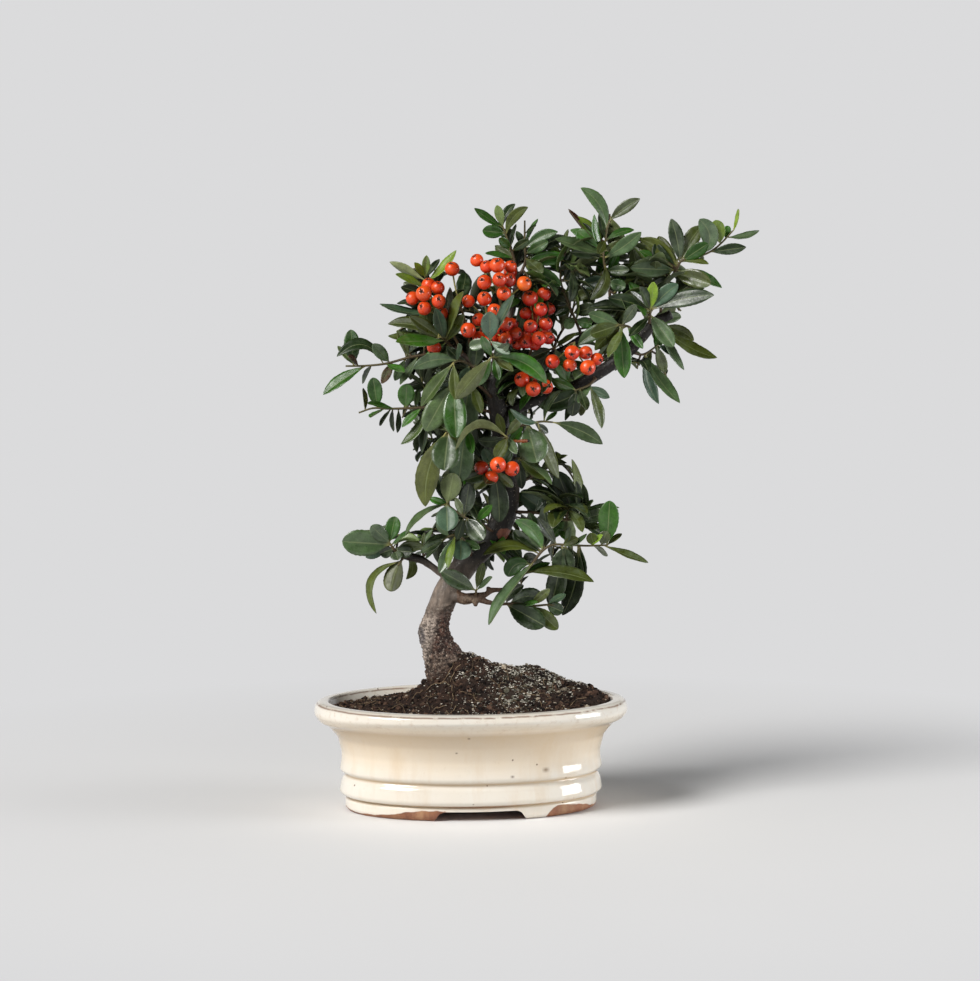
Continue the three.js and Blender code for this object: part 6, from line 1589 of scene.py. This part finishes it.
def wood_tint(across, up, near, low, lumps, streaks, plates, fine):
    tint = SMOOTH_BARK * (1 + 0.16 * streaks + 0.25 * lumps)
    # right of the middle line, low on the trunk, the bark is darkened as painted shade, and below the peeled
    # lip it is red-brown and wrinkled
    right = across + 20.5 - 0.25 * (up - 92)
    painted_shade_right = ramp(right, -4, 5) * ramp(up, 140, 128)
    brown = ramp(right, -5, -1) * ramp(up, 115, 110) * ramp(up, 82, 90)
    whitish = ramp(right, 0, -4) * ramp(up, 112, 106) * ramp(up, 76, 84)
    foot = ramp(up, 86, 78)
    tint = tint * (1 - 0.5 * painted_shade_right)
    # the rugged bark is dark in its pits and pale on its raised plates: partly the bark's own colour, partly
    # painted shade in the pits and painted highlight on the plates
    rugged = ramp(plates + 0.6 * fine + 0.2 - 0.35 * brown + 0.25 * whitish, -0.6, 0.6)
    crust = blend(PIT, FLAKE, rugged)
    crust = blend(crust, RED_BROWN * (0.25 + 0.75 * rugged), 0.85 * brown)
    crust = blend(crust, WHITISH * (0.25 + 0.75 * rugged), 0.7 * whitish)
    crust = blend(crust, FOOT_BROWN * (0.3 + 0.9 * rugged), 0.8 * foot)
    tint = blend(tint, crust, low)
    # painted shade: the wood is darkened where the crown shades it, between about 128 and 262 up, most
    # between 142 and 246
    tint = tint * (1 - 0.93 * ramp(up, 128, 142) * ramp(up, 262, 246))
    tint = blend(tint, BLUE_GREY_TONE, 0.7 * ramp(reach_of(BLUE_GREY_PATCH, across, up), 1.1, 0.6))
    if reach_of(SCAR, across, up) < 1:
        tint = SCAR_TONE
    if across < 34:
        side_lit = 0.6 * ramp(across, 24.5, 28) * ramp(up, 156, 162) * ramp(up, 196, 188)
        tint = blend(tint, LIT_BARK * (0.8 + 0.5 * streaks), side_lit)
    if up > 222:
        tint = blend(tint, DARK_BARK, ramp(across, 24, 44))
    if lies_in(BARE_PATCH, across, up):
        tint = BARE_TONE
    if lies_in(STUB, across, up) and near > STUB_NEAR:
        tint = STUB_TONE if across < STUB_PEELED_TO else DARK_BARK
    if lies_in(ARM, across, up):
        tint = ARM_TONE
    elif lies_in(GNARL, across, up):
        worn = ramp(reach_of(WORN, across, up), 1.1, 0.4) * ramp(fine, -0.4, 0.2)
        tint = blend(GNARL_TONE * (1 + 0.35 * streaks), WORN_TONE, 0.6 * worn)
    if lies_in(CUT_END, across, up):
        tint = DARK_BARK * 0.5
    return tint * (1 + 0.16 * fine)


# How the materials look
def plant_tint(nodes, scale, low, high):
    """A piece's own tint, made a little darker and lighter in patches"""
    return nodes.shaded(nodes.layer("tint", "Color"), nodes.varied(scale, 5, low, high, 0.6))


def leaf_look():
    n = Nodes("leaf_glossy")
    base = plant_tint(n, 150, 0.66, 1.34)
    base = n.shaded(base, n.span(n.noise(1300, 4, 0.65), 0.32, 0.68, 0.8, 1.2))
    across, along, under, sheen = (n.layer(name) for name in ("across", "along", "under", "sheen"))
    out = n.math("ABSOLUTE", across)
    rib = n.span(out, 0.015, 0.075, 1.0, 0.0)
    wavy = n.plus(n.minus(along, n.times(out, 3.6)), n.times(n.noise(300, 2), 1.6))
    veins = n.math("SINE", n.times(wavy, 2.5))
    vein = n.times(n.span(veins, 0.78, 1.0), n.span(out, 0.9, 0.45))
    base = n.over(base, vein, 0.12, n.mix(1.0, base, colour(52, 60, 44), "ADD"))
    # painted sheen: pale patches on the upper side, stronger on the glossier leaves
    painted_sheen = n.times(n.span(n.noise(110, 4, 0.7), 0.46, 0.7), n.minus(1, under))
    base = n.over(base, painted_sheen, n.span(sheen, 0, 1, 0.12, 0.5), colour(122, 138, 108))
    base = n.over(base, rib, 0.55, colour(124, 134, 92))
    base = n.over(base, n.span(out, 0.93, 1.0), 0.18, colour(120, 120, 84))
    gloss = n.minus(n.varied(420, 3, 0.33, 0.5), n.times(sheen, 0.1))
    n.set(Base_Color=base, Roughness=n.plus(gloss, n.times(under, 0.25), True))
    n.set(Specular_IOR_Level=n.span(sheen, 0.2, 1, 0.3, 0.85))
    height = n.plus(n.times(veins, -0.07), n.times(n.noise(600, 4, 0.6), 1.3))
    n.bump(n.minus(height, rib), 0.16, 0.0004)
    return n.material


def twig_look(name):
    n = Nodes(name)
    n.set(Base_Color=plant_tint(n, 500, 0.7, 1.3), Roughness=n.varied(900, 3, 0.5, 0.75))
    n.bump(n.noise(1300, 4, 0.6, (1, 1, 0.5)), 0.4, 0.0004)
    return n.material


def bark_look():
    n = Nodes("bark_grey_brown")
    base = plant_tint(n, 130, 0.72, 1.28)
    base = n.shaded(base, n.span(n.noise(420, 5, 0.65, (1, 1, 0.22)), 0.36, 0.64, 0.7, 1.25))
    base = n.over(base, n.span(n.noise(700, 2, 0.5), 0.64, 0.72), 0.4, colour(166, 158, 142))
    rugged = n.layer("rugged")
    pits = n.times(n.span(n.noise(560, 4, 0.7, (1, 1, 1.5)), 0.4, 0.5, 1.0, 0.0), rugged)
    base = n.over(base, pits, 0.75, colour(34, 22, 18))
    crumbs = n.times(n.span(n.noise(820, 3, 0.6), 0.57, 0.66), rugged)
    base = n.over(base, crumbs, 0.6, colour(196, 180, 162))
    gloss = n.varied(300, 4, 0.32, 0.56)
    n.set(Base_Color=base, Roughness=n.plus(gloss, n.times(rugged, 0.22)), Specular_IOR_Level=0.32)
    height = n.plus(n.noise(420, 5, 0.65, (1, 1, 0.25)), n.times(n.noise(1500, 3), 0.4))
    n.bump(n.minus(height, n.times(pits, 0.7)), 0.6, 0.0009)
    return n.material


def berry_look():
    n = Nodes("berry_orange_red")
    base = plant_tint(n, 190, 0.86, 1.14)
    deeper = n.mix(1.0, base, colour(224, 120, 90), "MULTIPLY")
    base = n.over(base, n.span(n.noise(140, 3), 0.42, 0.66), 0.5, deeper)
    base = n.over(base, n.span(n.cells(900), 0.1, 0.16, 1.0, 0.0), 0.22, colour(250, 170, 90))
    calyx = n.layer("calyx")
    base = n.mix(calyx, base, colour(34, 20, 14))
    gloss = n.varied(500, 3, 0.26, 0.44)
    n.set(Base_Color=base, Roughness=n.plus(gloss, n.times(calyx, 0.45), True))
    n.set(Coat_Weight=0.12, Coat_Roughness=0.2)
    n.bump(n.noise(700, 2), 0.12, 0.0003)
    return n.material


def soil_look(name):
    n = Nodes(name)
    base = n.shaded(plant_tint(n, 220, 0.6, 1.4), n.span(n.cells(620), 0.1, 0.5, 0.75, 1.2))
    n.set(Base_Color=base, Roughness=n.varied(300, 3, 0.82, 0.97), Specular_IOR_Level=0.3)
    n.bump(n.plus(n.noise(900, 5, 0.7), n.cells(700)), 0.8, 0.0012)
    return n.material


CREAM, WHITE_GLAZE, POOLED_GLAZE_AND_SHADE = colour(226, 211, 189), colour(225, 220, 210), colour(180, 152, 114)
CLAY_DARK, CLAY_LIGHT = colour(112, 66, 46), colour(164, 112, 78)
GROOVES = (8.2, 21.1)
LIP_EDGE = 62.35
# Dark specks in the glaze at the front: how far across, how high and how large
GLAZE_SPOTS = [(37.4, 28.2, 2.6), (17.6, 25.6, 1.5), (-8, 49, 1.1), (50, 22, 1.1), (-14.4, 40, 1)]


def oval_reach(n, x, y):
    """How far out a place is, as a share of the pot's outer oval"""
    shares = []
    for axis, middle, size in ((x, WHOLE_MIDDLE[0], POT_LENGTH), (y, WHOLE_MIDDLE[1], POT_WIDTH)):
        shares.append(n.math("DIVIDE", n.plus(axis, middle * MM), size / 2 * MM))
    return n.math("SQRT", n.plus(*(n.times(share, share) for share in shares)))


def pot_look():
    n = Nodes("glaze_cream")
    x, y, z = n.axes()
    high = n.times(z, 1000)
    cloud = n.span(n.noise(30, 5, 0.6, (1, 1, 0.35)), 0.35, 0.65)
    banded = n.plus(n.span(high, 53, 58), n.span(high, 33, 23), True)
    base = n.mix(n.plus(n.times(cloud, 0.3), n.times(banded, 0.7)), CREAM, WHITE_GLAZE)
    # painted shade: the glaze is darker and yellower under the lip, and in the grooves, where the glaze also
    # pools
    neck = n.times(n.span(high, 33, 49), n.span(high, 52.5, 50))
    grooves = n.plus(*(n.near(high, groove, 1.5) for groove in GROOVES), True)
    base = n.mix(n.math("MAXIMUM", n.times(neck, 0.55), n.times(grooves, 0.8)), base, POOLED_GLAZE_AND_SHADE)
    edge = n.near(n.plus(high, n.noise(90, 3)), LIP_EDGE, 0.62)
    rust = n.times(edge, n.span(n.noise(170, 5, 0.65), 0.34, 0.5))
    base = n.over(base, rust, 0.85, colour(112, 74, 48))
    wavering = n.times(n.minus(n.noise(160, 3), 0.5), 2.2)
    above = n.minus(n.plus(n.layer("bare_line"), wavering), high)
    inside = n.span(oval_reach(n, x, y), 0.70, 0.72, 1.0, 0.0)
    bare = n.math("MAXIMUM", n.span(above, -0.22, 0.22), n.times(inside, n.span(high, 12, 10)))
    clay = n.mix(n.span(n.noise(120, 5, 0.7), 0.3, 0.7), CLAY_DARK, CLAY_LIGHT)
    base = n.mix(bare, base, n.shaded(clay, n.span(n.cells(900), 0.15, 0.3, 0.75, 1.0)))
    specks = n.times(n.span(n.cells(105), 0.05, 0.068, 1.0, 0.0), n.span(n.noise(40, 1), 0.5, 0.52))
    base = n.over(base, specks, 0.8, colour(86, 52, 34))
    for across, height, size in GLAZE_SPOTS:
        beside = n.near(n.times(x, 1000), across - WHOLE_MIDDLE[0], size)
        spot = n.times(n.times(beside, n.near(high, height, size * 0.7)), n.span(y, 0, -0.001))
        base = n.over(base, spot, 0.9, colour(70, 42, 28))
    runs = n.times(n.span(n.noise(75, 5, 0.65, (1, 1, 0.16)), 0.48, 0.68), n.span(high, 58, 50))
    base = n.over(base, runs, 0.26, colour(206, 176, 134))
    mottle = n.times(n.span(n.noise(300, 5, 0.7), 0.54, 0.68), n.span(high, 46, 56))
    base = n.over(base, mottle, 0.24, colour(176, 138, 98))
    base = n.over(base, n.span(n.noise(380, 5, 0.7), 0.58, 0.74), 0.12, colour(170, 146, 110))
    gloss = n.varied(60, 4, 0.05, 0.11)
    n.set(Base_Color=base, Roughness=n.plus(gloss, n.times(bare, 0.6), True))
    n.set(Specular_IOR_Level=0.5, Coat_Weight=0.15, Coat_Roughness=0.08)
    height = n.plus(n.noise(130, 3), n.times(n.times(bare, n.noise(900, 5)), 1.4))
    n.bump(n.minus(height, n.times(bare, 0.8)), 0.1, 0.0008)
    return n.material


def screen_look():
    n = Nodes("mesh_black")
    n.set(Base_Color=n.shaded(colour(34, 34, 36), n.varied(600, 4, 0.7, 1.4)))
    n.set(Roughness=n.varied(300, 2, 0.45, 0.6))
    n.bump(n.noise(900, 3), 0.2, 0.0003)
    return n.material


SURROUND_TONE = colour(219, 219, 220)
FLOOR_TONE = colour(232, 232, 232)
FLOOR_NEAR = 0.14
FLOOR_FAR = 0.5
SKY_DARK = 0.03


def floor_look():
    """Pale, and further out as bright as the surround, so that no far edge shows"""
    n = Nodes("floor_pale")
    x, y, z = n.axes()
    out = n.math("SQRT", n.plus(n.times(x, x), n.times(y, y)))
    n.set(Base_Color=n.shaded(FLOOR_TONE, n.varied(3, 3, 0.985, 1.015)))
    n.set(Roughness=0.9, Specular_IOR_Level=0.2)
    glow = n.node("ShaderNodeEmission")
    n.fill(glow.inputs["Color"], SURROUND_TONE)
    mixed = n.node("ShaderNodeMixShader")
    parts = (n.span(out, FLOOR_NEAR, FLOOR_FAR), n.shader.outputs[0], glow.outputs[0])
    for socket, value in zip(mixed.inputs, parts):
        n.fill(socket, value)
    n.fill(n.tree.nodes["Material Output"].inputs["Surface"], mixed.outputs[0])
    return n.material


# The object
build_pot(pot_look())
build_soil(soil_look("soil_dark"), soil_look("soil_loose"))
build_wood(bark_look())
build_sprays(leaf_look(), twig_look("twig_bark"))
build_bunches(berry_look(), twig_look("stalk_green_brown"))
mesh_material = screen_look()
for name in ("drain_screen_left", "drain_screen_right"):
    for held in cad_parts[name].material_slots:
        held.link = "OBJECT"
        held.material = mesh_material

# Floor, light and camera
HALF_FLOOR = 12
FLOOR_CORNERS = [(-1, -1), (1, -1), (1, 1), (-1, 1)]
floor_mesh = bpy.data.meshes.new("floor")
floor_mesh.from_pydata([(x * HALF_FLOOR, y * HALF_FLOOR, 0) for x, y in FLOOR_CORNERS], [], [(0, 1, 2, 3)])
floor_mesh.materials.append(floor_look())
placed("floor", floor_mesh)

# The surround is bright at eye height and darker above
world = bpy.data.worlds.new("surround")
world.use_nodes = True
sky = world.node_tree.nodes
backdrop = sky["Background"]
backdrop.inputs["Color"].default_value = (*SURROUND_TONE, 1)
heading = sky.new("ShaderNodeTexCoord")
parts = sky.new("ShaderNodeSeparateXYZ")
darker = sky.new("ShaderNodeMapRange")
for socket, value in zip(darker.inputs[1:5], (0.18, 0.3, 1, SKY_DARK)):
    socket.default_value = value
world.node_tree.links.new(heading.outputs["Generated"], parts.inputs[0])
world.node_tree.links.new(parts.outputs["Z"], darker.inputs[0])
world.node_tree.links.new(darker.outputs[0], backdrop.inputs["Strength"])
bpy.context.scene.world = world
bpy.context.scene.view_settings.view_transform = "Standard"


def softbox(name, at, aim, side, power, tone):
    light = bpy.data.lights.new(name, "AREA")
    light.shape = "RECTANGLE"
    light.size, light.size_y = side, side
    light.energy = power
    light.color = tone
    lamp = placed(name, light)
    lamp.location = at
    lamp.rotation_euler = (Vector(aim) - Vector(at)).to_track_quat("-Z", "Y").to_euler()


softbox("key", (-2.95, -1.95, 2.9), (0, 0, 0.17), 1.9, 236, (1, 0.985, 0.965))
softbox("side", (1.5, -0.42, 0.36), (0, 0, 0.05), 0.66, 17, (0.98, 0.99, 1))

camera_data = bpy.data.cameras.new("front_camera")
camera_data.sensor_fit = "VERTICAL"
camera_data.sensor_height = SENSOR
camera_data.lens = FOCAL_PIXELS / PICTURE_HEIGHT * SENSOR
camera_data.clip_start = 0.05
camera_data.clip_end = 100
camera_data.dof.use_dof = False
camera = placed("front_camera", camera_data)
camera.location = Vector((viewer - WHOLE_MIDDLE) * MM)
camera.rotation_euler = Vector(view_ahead).to_track_quat("-Z", "Y").to_euler()
bpy.context.scene.camera = camera
